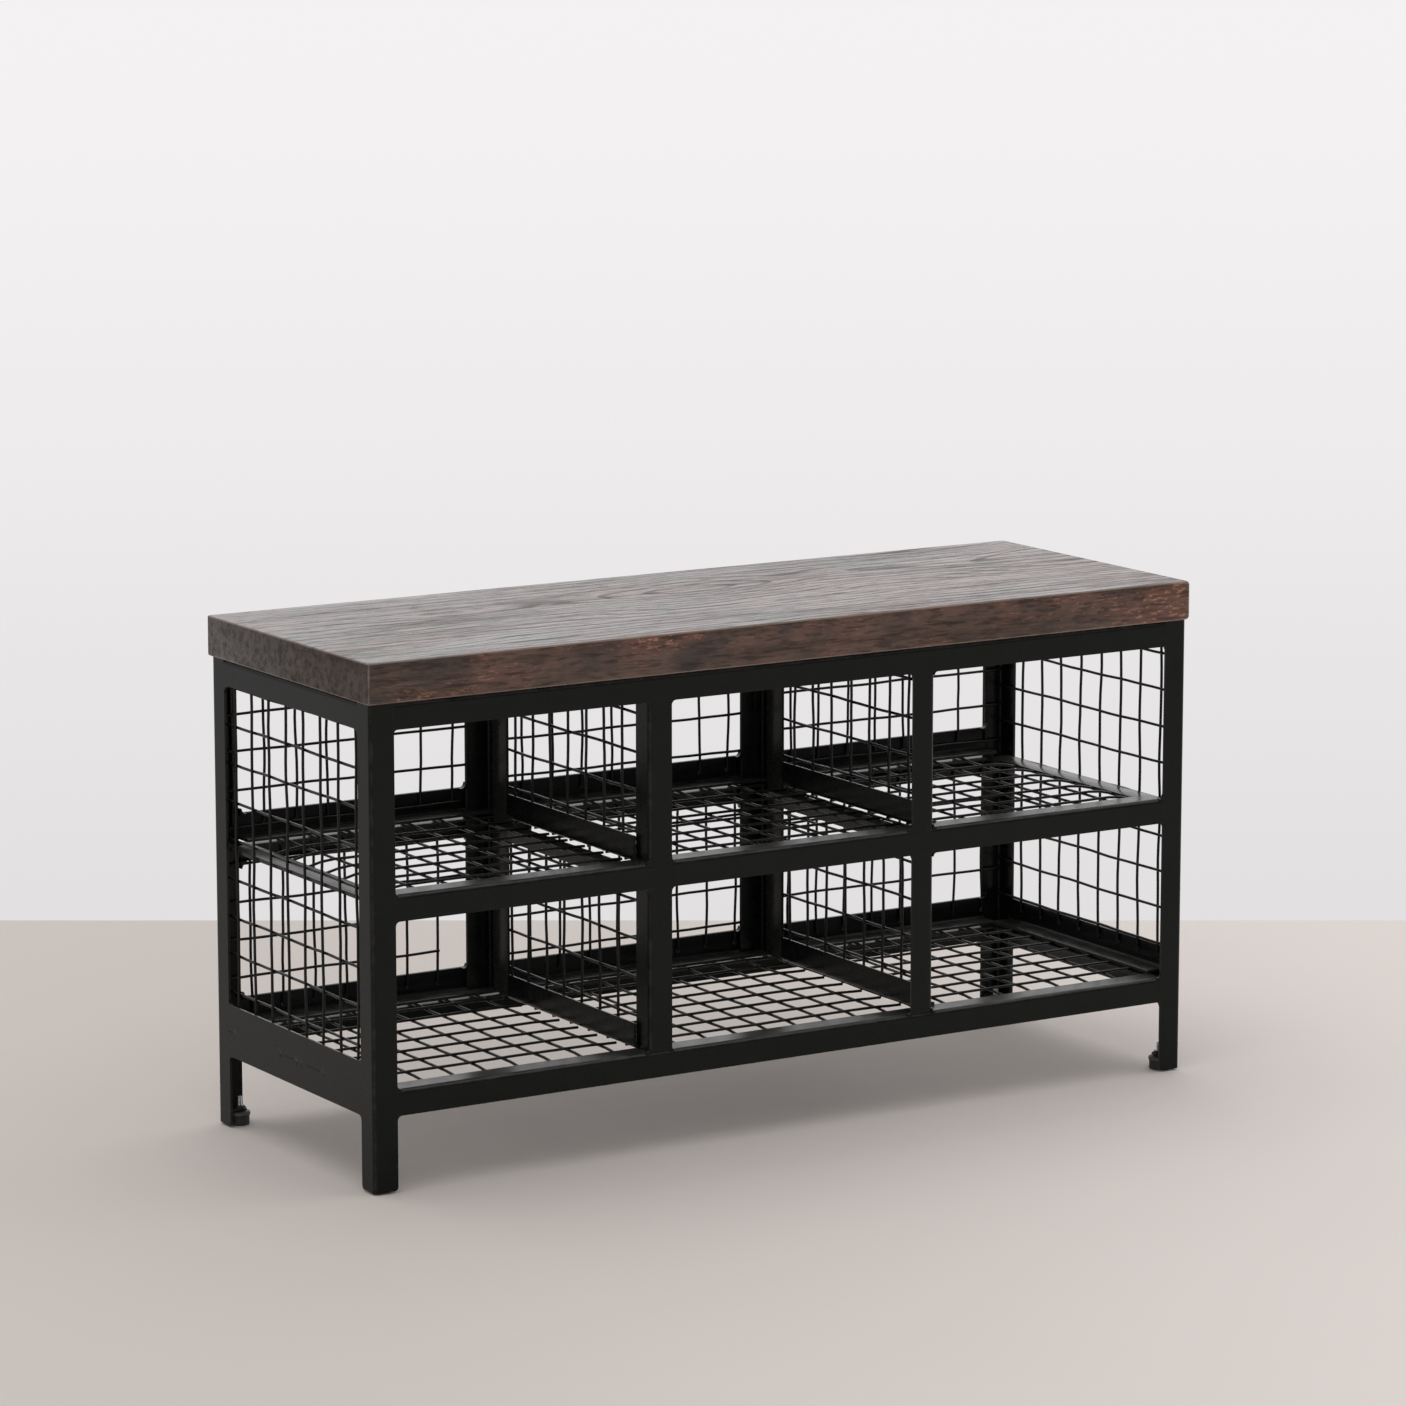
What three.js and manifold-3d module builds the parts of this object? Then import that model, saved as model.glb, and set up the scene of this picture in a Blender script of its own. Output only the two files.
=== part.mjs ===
// Entryway bench: a thick wooden seat on a welded angle-iron rack with two levels of wire-mesh
// shoe compartments, three on each level. Millimetres, +Z up, +X along the length, the open side
// facing -Y, origin on the floor under the middle of the seat.
import * as THREE from "three";
import { mergeVertices } from "three/addons/utils/BufferGeometryUtils.js";
import Module from "manifold-3d";

const wasm = await Module();
wasm.setup();

// Driving dimensions.
const LENGTH = 928;
const DEPTH = 325;
const HEIGHT = 500;
const SEAT_THICKNESS = 39;
const OVERHANG = 3;
const ANGLE = 25; // width of each flange of the main angle iron
const SMALL_ANGLE = 20; // the lighter angle under the mesh
const BACK_FACE = 29.5; // wider flange of the two back uprights
const END_LOWER_DROP = 23; // trimmed flange of the bottom end rails
const STEEL = 3; // flange thickness
const HEEL_RADIUS = 3.5;
const GAP = 0.3; // between neighbouring pieces
const WIRE = 2.8;
const WIRE_PITCH = 75;

// Levels of the two shelves: the top of each front rail, and the plane that the mesh lies in.
const LEG_BOTTOM = 2;
const BOTTOM_RAIL_TOP = 98;
const BOTTOM_UPPER_HEEL = 98.1;
const BOTTOM_MESH_UNDERSIDE = 95.1;
const MID_RAIL_TOP = 281.5;
const MID_UPPER_HEEL = 279.9;
const MID_MESH_UNDERSIDE = 276.8;

// Cross positions of the two front uprights' faces and of the two divider planes.
const FRONT_UPRIGHT_FACES = [-164, 134.5];
const DIVIDER_PLANES = [-165, 155.5];
const STRAP_FRONT = 105;

// Feet and seat screws.
const FOOT_INSET = 14.6; // stud axis from the leg's two outer faces
const PAD_RADIUS = 11;
const PAD_HEIGHT = 13.6;
const STUD_RADIUS = 3;
const STUD_TOP = 28;
const STUD_BOTTOM = 4;
const THREAD_CLEARANCE = 0.1;
const PLATE_BOTTOM = 14.2;
const PLATE_THICKNESS = 2.4;
const NUT_RADIUS = 5.7;
const NUT_TOP = 19;
const SCREW_X = 300;
const SCREW_SHANK_RADIUS = 2.2;
const SCREW_HEAD_RADIUS = 4.6;
const SCREW_DEPTH = 24;

// Derived limits of the steel rack.
const SEAT_BOTTOM = HEIGHT - SEAT_THICKNESS;
const RACK_TOP = SEAT_BOTTOM - GAP;
const OUT_X = LENGTH / 2 - OVERHANG;
const OUT_Y = DEPTH / 2 - OVERHANG;
const IN_X = OUT_X - ANGLE - GAP; // rails run between the legs' flanges
const IN_Y = OUT_Y - ANGLE - GAP;
const WALL_X = OUT_X - STEEL; // inner faces of the legs' flanges
const WALL_Y = OUT_Y - STEEL;

const X = new THREE.Vector3(1, 0, 0);
const Y = new THREE.Vector3(0, 1, 0);
const Z = new THREE.Vector3(0, 0, 1);
const MINUS_X = X.clone().negate();
const MINUS_Y = Y.clone().negate();
const MINUS_Z = Z.clone().negate();

const wood = () => new THREE.MeshStandardMaterial({ color: 0x4a332b, roughness: 0.5, metalness: 0 });
const paint = () => new THREE.MeshStandardMaterial({ color: 0x17181a, roughness: 0.45, metalness: 0.1 });
const zinc = () => new THREE.MeshStandardMaterial({ color: 0xb9bcc0, roughness: 0.3, metalness: 1 });
const nylon = () => new THREE.MeshStandardMaterial({ color: 0x151515, roughness: 0.65, metalness: 0 });

const bench = new THREE.Group();

function add(name, geometry, material, parent = bench) {
  const mesh = new THREE.Mesh(geometry, material);
  mesh.name = name;
  parent.add(mesh);
  return mesh;
}

// Geometry to manifold solid and back, for cuts and joins.
function solid(geometry) {
  const bare = geometry.clone();
  bare.deleteAttribute("normal");
  bare.deleteAttribute("uv");
  const merged = mergeVertices(bare, 1e-4);
  return new wasm.Manifold(
    new wasm.Mesh({
      numProp: 3,
      vertProperties: new Float32Array(merged.attributes.position.array),
      triVerts: new Uint32Array(merged.index.array),
    }),
  );
}

function geometryOf(body) {
  const mesh = body.getMesh();
  const geometry = new THREE.BufferGeometry();
  geometry.setAttribute("position", new THREE.BufferAttribute(mesh.vertProperties, 3));
  geometry.setIndex(new THREE.BufferAttribute(mesh.triVerts, 1));
  return geometry;
}

// A box between two corners, each given as [x, y, z].
function block(low, high) {
  const size = high.map((value, i) => value - low[i]);
  const middle = high.map((value, i) => (value + low[i]) / 2);
  return new THREE.BoxGeometry(...size).translate(...middle);
}

function cut(geometry, cutters) {
  return geometryOf(cutters.reduce((body, cutter) => body.subtract(solid(cutter)), solid(geometry)));
}

// Section of angle iron: the heel is at the origin, one flange runs along +u and one along +v.
function angleSection(u, v) {
  const section = new THREE.Shape();
  section.moveTo(HEEL_RADIUS, 0);
  section.lineTo(u, 0);
  section.lineTo(u, STEEL);
  section.lineTo(STEEL, STEEL);
  section.lineTo(STEEL, v);
  section.lineTo(0, v);
  section.lineTo(0, HEEL_RADIUS);
  section.absarc(HEEL_RADIUS, HEEL_RADIUS, HEEL_RADIUS, Math.PI, 1.5 * Math.PI, false);
  return section;
}

// Angle iron from a heel point along one axis, with its flanges pointing along two others.
function angleIron(heel, along, length, flangeA, flangeB, widthA = ANGLE, widthB = ANGLE) {
  const turnsRight = flangeA.clone().cross(flangeB).dot(along) > 0;
  const [u, v] = turnsRight ? [flangeA, flangeB] : [flangeB, flangeA];
  const [uWidth, vWidth] = turnsRight ? [widthA, widthB] : [widthB, widthA];
  const bar = new THREE.ExtrudeGeometry(angleSection(uWidth, vWidth), {
    depth: length,
    bevelEnabled: false,
    curveSegments: 4,
  });
  bar.applyMatrix4(new THREE.Matrix4().makeBasis(u, v, along));
  return bar.translate(...heel);
}

// Places along one side of a wire grid where its squares begin and end: both edges of every wire,
// with the edges of any cut-outs between them.
function gridLines(length, step, cutEdges) {
  const lines = [...cutEdges];
  for (let edge = 0; edge < length; edge += step) {
    lines.push(edge, edge + WIRE);
  }
  return lines.filter((value) => value <= length + 0.01).sort((a, b) => a - b);
}

// Welded wire mesh as one flat grid of square wires. Its border wires lie on the given rectangle, and
// no wire passes through a cut-out, which is a pair of corners [x, y] in the grid's own plane.
function wireGrid(origin, u, v, width, height, cutouts = []) {
  const stepU = (width - WIRE) / Math.round(width / WIRE_PITCH);
  const stepV = (height - WIRE) / Math.max(2, Math.round(height / WIRE_PITCH));
  const xs = gridLines(width, stepU, cutouts.flatMap(([low, high]) => [low[0], high[0]]));
  const ys = gridLines(height, stepV, cutouts.flatMap(([low, high]) => [low[1], high[1]]));
  const filled = (i, j) => {
    if (i < 0 || j < 0 || i > xs.length - 2 || j > ys.length - 2) return false;
    const x = (xs[i] + xs[i + 1]) / 2;
    const y = (ys[j] + ys[j + 1]) / 2;
    const isCut = cutouts.some(([low, high]) => x > low[0] && x < high[0] && y > low[1] && y < high[1]);
    return !isCut && (x % stepU < WIRE || y % stepV < WIRE);
  };
  const points = [];
  const quad = (a, b, c, d) => points.push(...a, ...b, ...c, ...a, ...c, ...d);
  for (let i = 0; i < xs.length - 1; i++) {
    for (let j = 0; j < ys.length - 1; j++) {
      if (!filled(i, j)) continue;
      const [x0, x1, y0, y1] = [xs[i], xs[i + 1], ys[j], ys[j + 1]];
      const low = [[x0, y0, 0], [x1, y0, 0], [x1, y1, 0], [x0, y1, 0]];
      const high = low.map(([x, y]) => [x, y, WIRE]);
      quad(...high);
      quad(low[3], low[2], low[1], low[0]);
      [[i, j - 1], [i + 1, j], [i, j + 1], [i - 1, j]].forEach(([m, n], side) => {
        const next = (side + 1) % 4;
        if (!filled(m, n)) quad(low[side], low[next], high[next], high[side]);
      });
    }
  }
  const grid = new THREE.BufferGeometry();
  grid.setAttribute("position", new THREE.Float32BufferAttribute(points, 3));
  grid.applyMatrix4(new THREE.Matrix4().makeBasis(u, v, u.clone().cross(v)));
  return grid.translate(...origin);
}

// A solid of revolution about a vertical axis, from a profile of [radius, height] points.
function turned(profile, sides) {
  const points = profile.map(([radius, height]) => new THREE.Vector2(radius, height));
  return new THREE.LatheGeometry(points, sides).rotateX(Math.PI / 2);
}

// Places where each seat screw stands, in the flanges of the front and back top rails.
const screwSpots = [];
for (const side of [-1, 1]) {
  for (const end of [-1, 1]) {
    screwSpots.push([end * SCREW_X, side * (OUT_Y - ANGLE / 2 - 1)]);
  }
}

function screwHole(x, y, radius, low, high) {
  return turned([[0, low], [radius, low], [radius, high], [0, high]], 16).translate(x, y, 0);
}

function makeSeat() {
  const bevel = 2;
  const halfX = LENGTH / 2 - bevel;
  const halfY = DEPTH / 2 - bevel;
  const outline = new THREE.Shape();
  outline.moveTo(-halfX, -halfY);
  outline.lineTo(halfX, -halfY);
  outline.lineTo(halfX, halfY);
  outline.lineTo(-halfX, halfY);
  const slab = new THREE.ExtrudeGeometry(outline, {
    depth: SEAT_THICKNESS - 2 * bevel,
    bevelEnabled: true,
    bevelSize: bevel,
    bevelThickness: bevel,
    bevelSegments: 2,
  });
  slab.translate(0, 0, SEAT_BOTTOM + bevel);
  const pilotTop = SEAT_BOTTOM + SCREW_DEPTH - 2;
  const pilots = screwSpots.map(([x, y]) =>
    screwHole(x, y, SCREW_SHANK_RADIUS + THREAD_CLEARANCE, SEAT_BOTTOM - 1, pilotTop),
  );
  add("seat_top", cut(slab, pilots), wood());
}

function makeLegs() {
  for (const [depthName, sideY] of [["front", -1], ["back", 1]]) {
    for (const [endName, sideX] of [["left", -1], ["right", 1]]) {
      const heel = [sideX * OUT_X, sideY * OUT_Y, LEG_BOTTOM];
      const inwardX = sideX < 0 ? X : MINUS_X;
      const inwardY = sideY < 0 ? Y : MINUS_Y;
      const leg = angleIron(heel, Z, RACK_TOP - LEG_BOTTOM, inwardX, inwardY);
      add(`${depthName}_${endName}_leg`, leg, paint());
    }
  }
}

// Cutters that let a rail's inner flange pass the front or back uprights.
function uprightNotches(faces, width, low, high, front, back) {
  return faces.map((x) => block([x - GAP, front, low], [x + width + GAP, back, high]));
}

const backUprightFaces = DIVIDER_PLANES.map((plane) => plane + WIRE + GAP + STEEL - BACK_FACE);

function makeFrontRails() {
  const start = -IN_X;
  const length = 2 * IN_X;
  const topRail = angleIron([start, -OUT_Y, RACK_TOP], X, length, MINUS_Z, Y);
  const holes = screwSpots
    .filter(([, y]) => y < 0)
    .map(([x, y]) => screwHole(x, y, SCREW_SHANK_RADIUS + GAP, RACK_TOP - STEEL - 1, RACK_TOP + 1));
  add("front_top_rail", cut(topRail, holes), paint());
  const bottomRail = angleIron([start, -OUT_Y, BOTTOM_RAIL_TOP], X, length, MINUS_Z, Y);
  add("front_bottom_rail", bottomRail, paint());
  const midRail = angleIron([start, -OUT_Y, MID_RAIL_TOP], X, length, MINUS_Z, Y);
  const low = MID_RAIL_TOP - ANGLE - 1;
  const coped = uprightNotches(FRONT_UPRIGHT_FACES, ANGLE, low, MID_RAIL_TOP + 1, -WALL_Y, -IN_Y + 1);
  add("front_mid_rail", cut(midRail, coped), paint());
}

// The front uprights stand on the bottom rail. Their face is cut out where the mid rail crosses.
function makeFrontUprights() {
  const foot = BOTTOM_RAIL_TOP + GAP;
  const height = RACK_TOP - ANGLE - GAP - foot;
  const crossing = [MID_RAIL_TOP - ANGLE - GAP, MID_RAIL_TOP + GAP];
  const outerX = [FRONT_UPRIGHT_FACES[0], FRONT_UPRIGHT_FACES[1] + ANGLE];
  [["left", X], ["right", MINUS_X]].forEach(([name, inward], i) => {
    const bar = angleIron([outerX[i], -OUT_Y, foot], Z, height, inward, Y);
    const face = FRONT_UPRIGHT_FACES[i];
    const slot = block([face - 1, -OUT_Y - 1, crossing[0]], [face + ANGLE + 1, -WALL_Y + GAP, crossing[1]]);
    add(`front_${name}_upright`, cut(bar, [slot]), paint());
  });
}

function makeBackRails() {
  const start = -IN_X;
  const length = 2 * IN_X;
  const holes = screwSpots
    .filter(([, y]) => y > 0)
    .map(([x, y]) => screwHole(x, y, SCREW_SHANK_RADIUS + GAP, RACK_TOP - STEEL - 1, RACK_TOP + 1));
  const topRail = angleIron([start, OUT_Y, RACK_TOP], X, length, MINUS_Z, MINUS_Y);
  add("back_top_rail", cut(topRail, holes), paint());
  for (const [level, heel, under] of [
    ["bottom", BOTTOM_UPPER_HEEL, BOTTOM_MESH_UNDERSIDE],
    ["mid", MID_UPPER_HEEL, MID_MESH_UNDERSIDE],
  ]) {
    const upper = angleIron([start, OUT_Y, heel], X, length, Z, MINUS_Y);
    const lower = angleIron(
      [start, OUT_Y, under - GAP], X, length, MINUS_Z, MINUS_Y, SMALL_ANGLE, SMALL_ANGLE,
    );
    const notches = uprightNotches(
      backUprightFaces, BACK_FACE, under - SMALL_ANGLE, heel + 5, IN_Y - 6, WALL_Y - GAP,
    );
    add(`back_${level}_upper_rail`, level === "mid" ? cut(upper, notches) : upper, paint());
    add(`back_${level}_lower_rail`, level === "mid" ? cut(lower, notches) : lower, paint());
  }
}

// Each back upright is an angle with its face to the back. A flat strap runs beside its forward
// flange, and the divider mesh is held between the two.
function makeBackUprights() {
  const foot = BOTTOM_UPPER_HEEL + STEEL + GAP;
  const height = RACK_TOP - STEEL - GAP - foot;
  const faceBack = WALL_Y - WIRE - 2 * GAP - 0.1;
  ["left", "right"].forEach((name, i) => {
    const heelX = backUprightFaces[i] + BACK_FACE;
    const bar = angleIron([heelX, faceBack, foot], Z, height, MINUS_X, MINUS_Y, BACK_FACE, ANGLE);
    add(`back_${name}_upright`, bar, paint());
    const plane = DIVIDER_PLANES[i];
    const strapLow = [plane - STEEL - GAP, STRAP_FRONT, foot];
    const strap = block(strapLow, [plane - GAP, IN_Y, foot + height]);
    add(`${name}_divider_strap`, strap, paint());
  });
}

function makeEndRails() {
  const length = 2 * IN_Y;
  for (const [name, side, inward] of [["left", -1, X], ["right", 1, MINUS_X]]) {
    const x = side * OUT_X;
    add(`${name}_top_rail`, angleIron([x, -IN_Y, RACK_TOP], Y, length, MINUS_Z, inward), paint());
    const upper = angleIron([x, -IN_Y, BOTTOM_UPPER_HEEL], Y, length, Z, inward);
    add(`${name}_bottom_upper_rail`, upper, paint());
    const lowerTop = BOTTOM_MESH_UNDERSIDE - GAP;
    const lower = angleIron([x, -IN_Y, lowerTop], Y, length, MINUS_Z, inward, END_LOWER_DROP, ANGLE);
    add(`${name}_bottom_lower_rail`, lower, paint());
    const barTop = MID_MESH_UNDERSIDE - GAP;
    const outer = WALL_X - WIRE - 2 * GAP;
    const xs = [side * outer, side * (outer - ANGLE)].sort((a, b) => a - b);
    const bar = block(
      [xs[0], -WALL_Y + GAP, barTop - 4],
      [xs[1], OUT_Y - SMALL_ANGLE - GAP, barTop],
    );
    add(`${name}_mid_bar`, bar, paint());
  }
}

// At mid level the lower rail's flange points the other way from the upper rail's, which leaves a
// narrow slit between the two.
function makeDividerRails() {
  const start = -IN_Y;
  const length = STRAP_FRONT - GAP - start;
  ["left", "right"].forEach((name, i) => {
    const x = DIVIDER_PLANES[i] - STEEL - GAP;
    for (const [level, heel] of [["bottom", BOTTOM_UPPER_HEEL], ["mid_upper", MID_UPPER_HEEL]]) {
      add(`${name}_divider_${level}_rail`, angleIron([x, start, heel], Y, length, Z, X), paint());
    }
    const lowerHeel = [DIVIDER_PLANES[i] - GAP, start, MID_MESH_UNDERSIDE - GAP];
    const lower = angleIron(lowerHeel, Y, length, MINUS_Z, MINUS_X, SMALL_ANGLE, SMALL_ANGLE);
    add(`${name}_divider_mid_lower_rail`, lower, paint());
  });
}

function makeEndMeshes() {
  const low = BOTTOM_UPPER_HEEL + ANGLE - 10;
  const high = RACK_TOP - 10;
  const front = -WALL_Y + GAP;
  const back = WALL_Y - WIRE - 2 * GAP - 0.1;
  for (const [name, x] of [["left", -WALL_X + GAP], ["right", WALL_X - GAP - WIRE]]) {
    add(`${name}_end_mesh`, wireGrid([x, front, low], Y, Z, back - front, high - low), paint());
  }
}

function makeBackMeshes() {
  const halfWidth = WALL_X - GAP;
  for (const [level, low, high] of [
    ["lower", BOTTOM_UPPER_HEEL + 12, MID_MESH_UNDERSIDE - 7],
    ["upper", MID_UPPER_HEEL + 12, RACK_TOP - 10],
  ]) {
    const origin = [-halfWidth, WALL_Y - GAP, low];
    add(`back_${level}_mesh`, wireGrid(origin, X, Z, 2 * halfWidth, high - low), paint());
  }
}

// Both shelves run the full length. The mid shelf is cut round the straps and back uprights.
function makeShelfMeshes() {
  const front = -IN_Y;
  const back = WALL_Y - GAP;
  const bottomHalf = WALL_X - GAP;
  const bottom = wireGrid([-bottomHalf, front, BOTTOM_MESH_UNDERSIDE], X, Y, 2 * bottomHalf, back - front);
  add("bottom_shelf_mesh", bottom, paint());
  const left = -WALL_X + WIRE + 2 * GAP + 0.2;
  const span = back - front;
  const strapCuts = DIVIDER_PLANES.map((plane) => [
    [plane - STEEL - 2 * GAP - left, STRAP_FRONT - GAP - front],
    [plane - left, IN_Y + GAP - front],
  ]);
  const uprightCuts = backUprightFaces.map((face) => [
    [face - GAP - left, WALL_Y - WIRE - ANGLE - 1 - front],
    [face + BACK_FACE + GAP - left, span],
  ]);
  const origin = [left, front, MID_MESH_UNDERSIDE];
  add("mid_shelf_mesh", wireGrid(origin, X, Y, -2 * left, span, [...strapCuts, ...uprightCuts]), paint());
}

function makeDividerMeshes() {
  const front = -IN_Y;
  const back = WALL_Y - WIRE - STEEL - 3 * GAP;
  ["left", "right"].forEach((name, i) => {
    const x = DIVIDER_PLANES[i];
    for (const [level, low, high] of [
      ["lower", BOTTOM_UPPER_HEEL + STEEL + GAP, MID_MESH_UNDERSIDE - STEEL - 2 * GAP],
      ["upper", MID_UPPER_HEEL + STEEL + GAP, RACK_TOP - 10],
    ]) {
      const grid = wireGrid([x, front, low], Y, Z, back - front, high - low);
      add(`${name}_divider_${level}_mesh`, grid, paint());
    }
  });
}

// Each leg holds a welded plate with a nut. A zinc stud screws through it and turns in a round pad.
function makeFeet() {
  const plateSize = FOOT_INSET - STEEL - GAP;
  const reach = plateSize + NUT_RADIUS;
  const boreRadius = STUD_RADIUS + THREAD_CLEARANCE;
  const bore = turned([[0, PLATE_BOTTOM - 1], [boreRadius, PLATE_BOTTOM - 1], [boreRadius, NUT_TOP + 1],
    [0, NUT_TOP + 1]], 24);
  const nut = turned([[0, PLATE_BOTTOM], [NUT_RADIUS, PLATE_BOTTOM], [NUT_RADIUS, NUT_TOP - 0.6],
    [NUT_RADIUS - 0.7, NUT_TOP], [0, NUT_TOP]], 6);
  const socket = boreRadius;
  const pad = turned([[0, 0], [PAD_RADIUS - 1.6, 0], [PAD_RADIUS - 0.8, 0.8], [PAD_RADIUS - 0.8, 9],
    [PAD_RADIUS, 12], [PAD_RADIUS - 0.6, PAD_HEIGHT - 1], [NUT_RADIUS, PAD_HEIGHT], [socket, PAD_HEIGHT],
    [socket, STUD_BOTTOM - GAP], [0, STUD_BOTTOM - GAP]], 24);
  const stud = turned([[0, STUD_BOTTOM], [STUD_RADIUS, STUD_BOTTOM], [STUD_RADIUS, STUD_TOP - 0.8],
    [STUD_RADIUS - 0.8, STUD_TOP], [0, STUD_TOP]], 24);
  for (const [depthName, sideY] of [["front", -1], ["back", 1]]) {
    for (const [endName, sideX] of [["left", -1], ["right", 1]]) {
      const foot = new THREE.Group();
      foot.position.set(sideX * (OUT_X - FOOT_INSET), sideY * (OUT_Y - FOOT_INSET), 0);
      bench.add(foot);
      const low = [sideX < 0 ? -plateSize : -reach + plateSize, sideY < 0 ? -plateSize : -reach + plateSize];
      const plate = block([low[0], low[1], PLATE_BOTTOM],
        [low[0] + reach, low[1] + reach, PLATE_BOTTOM + PLATE_THICKNESS]);
      const bracket = geometryOf(solid(plate).add(solid(nut)).subtract(solid(bore)));
      const place = `${depthName}_${endName}`;
      add(`${place}_foot_bracket`, bracket, paint(), foot);
      add(`${place}_foot_stud`, stud.clone(), zinc(), foot);
      add(`${place}_foot_pad`, pad.clone(), nylon(), foot);
    }
  }
}

function makeScrews() {
  const headTop = RACK_TOP - STEEL - GAP;
  const headBottom = headTop - 2.6;
  const profile = [[0, headBottom], [SCREW_HEAD_RADIUS - 1.6, headBottom], [SCREW_HEAD_RADIUS, headTop - 1],
    [SCREW_HEAD_RADIUS, headTop], [SCREW_SHANK_RADIUS, headTop],
    [SCREW_SHANK_RADIUS, SEAT_BOTTOM + SCREW_DEPTH - 6], [0, SEAT_BOTTOM + SCREW_DEPTH - 3]];
  const names = ["front_left", "front_right", "back_left", "back_right"];
  screwSpots.forEach(([x, y], i) => {
    add(`${names[i]}_seat_screw`, turned(profile, 16).translate(x, y, 0), zinc());
  });
}

makeSeat();
makeLegs();
makeFrontRails();
makeFrontUprights();
makeBackRails();
makeBackUprights();
makeEndRails();
makeDividerRails();
makeEndMeshes();
makeBackMeshes();
makeShelfMeshes();
makeDividerMeshes();
makeFeet();
makeScrews();

export default bench;
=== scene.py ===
# Entryway bench: a thick stained board on a welded rack of black angle iron, closed and shelved with
# wire mesh, standing on four screw feet. Metres, +Z up, +X along the length, the open side facing -Y.
import math

import bpy
import numpy as np
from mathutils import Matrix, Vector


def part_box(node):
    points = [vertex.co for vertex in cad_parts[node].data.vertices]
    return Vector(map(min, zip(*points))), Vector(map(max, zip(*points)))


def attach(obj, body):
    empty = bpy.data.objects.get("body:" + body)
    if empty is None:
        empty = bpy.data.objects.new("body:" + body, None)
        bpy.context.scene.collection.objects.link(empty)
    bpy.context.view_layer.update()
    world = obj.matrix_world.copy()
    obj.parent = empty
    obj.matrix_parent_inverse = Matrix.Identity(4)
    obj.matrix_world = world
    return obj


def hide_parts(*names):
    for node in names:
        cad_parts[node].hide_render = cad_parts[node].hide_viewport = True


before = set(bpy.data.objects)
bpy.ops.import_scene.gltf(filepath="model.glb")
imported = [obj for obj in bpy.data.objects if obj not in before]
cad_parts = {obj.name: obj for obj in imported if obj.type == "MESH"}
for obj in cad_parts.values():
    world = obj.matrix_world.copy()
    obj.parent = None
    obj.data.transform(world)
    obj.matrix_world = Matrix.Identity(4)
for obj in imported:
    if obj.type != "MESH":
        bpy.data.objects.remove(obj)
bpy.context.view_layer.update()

# ---------------------------------------------------------------------------------- seat board
# One thick board of stained hardwood with softened edges and a satin varnish. Its grain runs along
# the bench. It rests on the rack and is screwed up through the top rails.


def corners(node):
    """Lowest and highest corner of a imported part, in millimetres."""
    low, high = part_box(node)
    return np.array(low) * 1000.0, np.array(high) * 1000.0


def skin(name, *stacks):
    """Skins stacks of rings into one object. A stack is (rings, wear), with rings[copy, station,
    point, xyz] in millimetres and wear[copy, station, point]. Neighbours on the grid make quads, the
    last point of a ring joins its first, and a ladder of quads across the first and the last ring
    closes the ends. A copy whose volume comes out negative is turned over, so faces point outwards."""
    points, wears, quads = [], [], []
    count = 0
    for rings, wear in stacks:
        copies, stations, around = rings.shape[:3]
        ids = np.arange(copies * stations * around).reshape(copies, stations, around)
        turned = np.roll(ids, -1, axis=2)
        side = np.stack([ids[:, :-1], turned[:, :-1], turned[:, 1:], ids[:, 1:]], -1)
        near = ids[:, :, : around // 2]
        far = ids[:, :, : around // 2 - 1 : -1]
        ladder = np.stack([near[:, :, :-1], near[:, :, 1:], far[:, :, 1:], far[:, :, :-1]], -1)
        faces = np.concatenate(
            [side.reshape(copies, -1, 4), ladder[:, -1], ladder[:, 0, :, ::-1]], axis=1
        )
        flat = rings.reshape(-1, 3)
        a, b, c, d = (flat[faces[:, :, k]] for k in range(4))
        volume = (np.cross(a, b) * c).sum((1, 2)) + (np.cross(a, c) * d).sum((1, 2))
        faces[volume < 0] = faces[volume < 0][:, :, ::-1]
        points.append(flat)
        wears.append(np.broadcast_to(wear, rings.shape[:3]).reshape(-1))
        quads.append(faces.reshape(-1, 4) + count)
        count += len(flat)
    mesh = bpy.data.meshes.new(name)
    mesh.from_pydata((np.concatenate(points) * 0.001).tolist(), [], np.concatenate(quads).tolist())
    mesh.shade_smooth()
    mesh.set_sharp_from_angle(angle=math.radians(40.0))
    wear_layer = mesh.attributes.new("wear", "FLOAT", "POINT")
    wear_layer.data.foreach_set("value", np.concatenate(wears).astype(np.float32))
    made = bpy.data.objects.new(name, mesh)
    bpy.context.scene.collection.objects.link(made)
    return made


def feed(tree, made, sockets):
    """Fills a node's sockets with values or with other nodes' outputs."""
    for key, value in sockets.items():
        if isinstance(value, bpy.types.NodeSocket):
            tree.links.new(value, made.inputs[key])
        else:
            made.inputs[key].default_value = value
    return made


def put(tree, kind, sockets=None, **properties):
    """Adds one node to a tree, with its properties and its sockets filled."""
    made = tree.nodes.new("ShaderNode" + kind)
    for key, value in properties.items():
        setattr(made, key, value)
    return feed(tree, made, sockets or {})


def calc(tree, operation, a, b=0.0, c=0.0):
    """One step of arithmetic on two or three values."""
    return put(tree, "Math", {0: a, 1: b, 2: c}, operation=operation).outputs[0]


def spread(tree, value, low, high, out_low=0.0, out_high=1.0):
    """Eases a value from the span low..high onto the span out_low..out_high."""
    sockets = {"Value": value, 1: low, 2: high, 3: out_low, 4: out_high}
    return put(tree, "MapRange", sockets, interpolation_type="SMOOTHSTEP").outputs[0]


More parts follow.
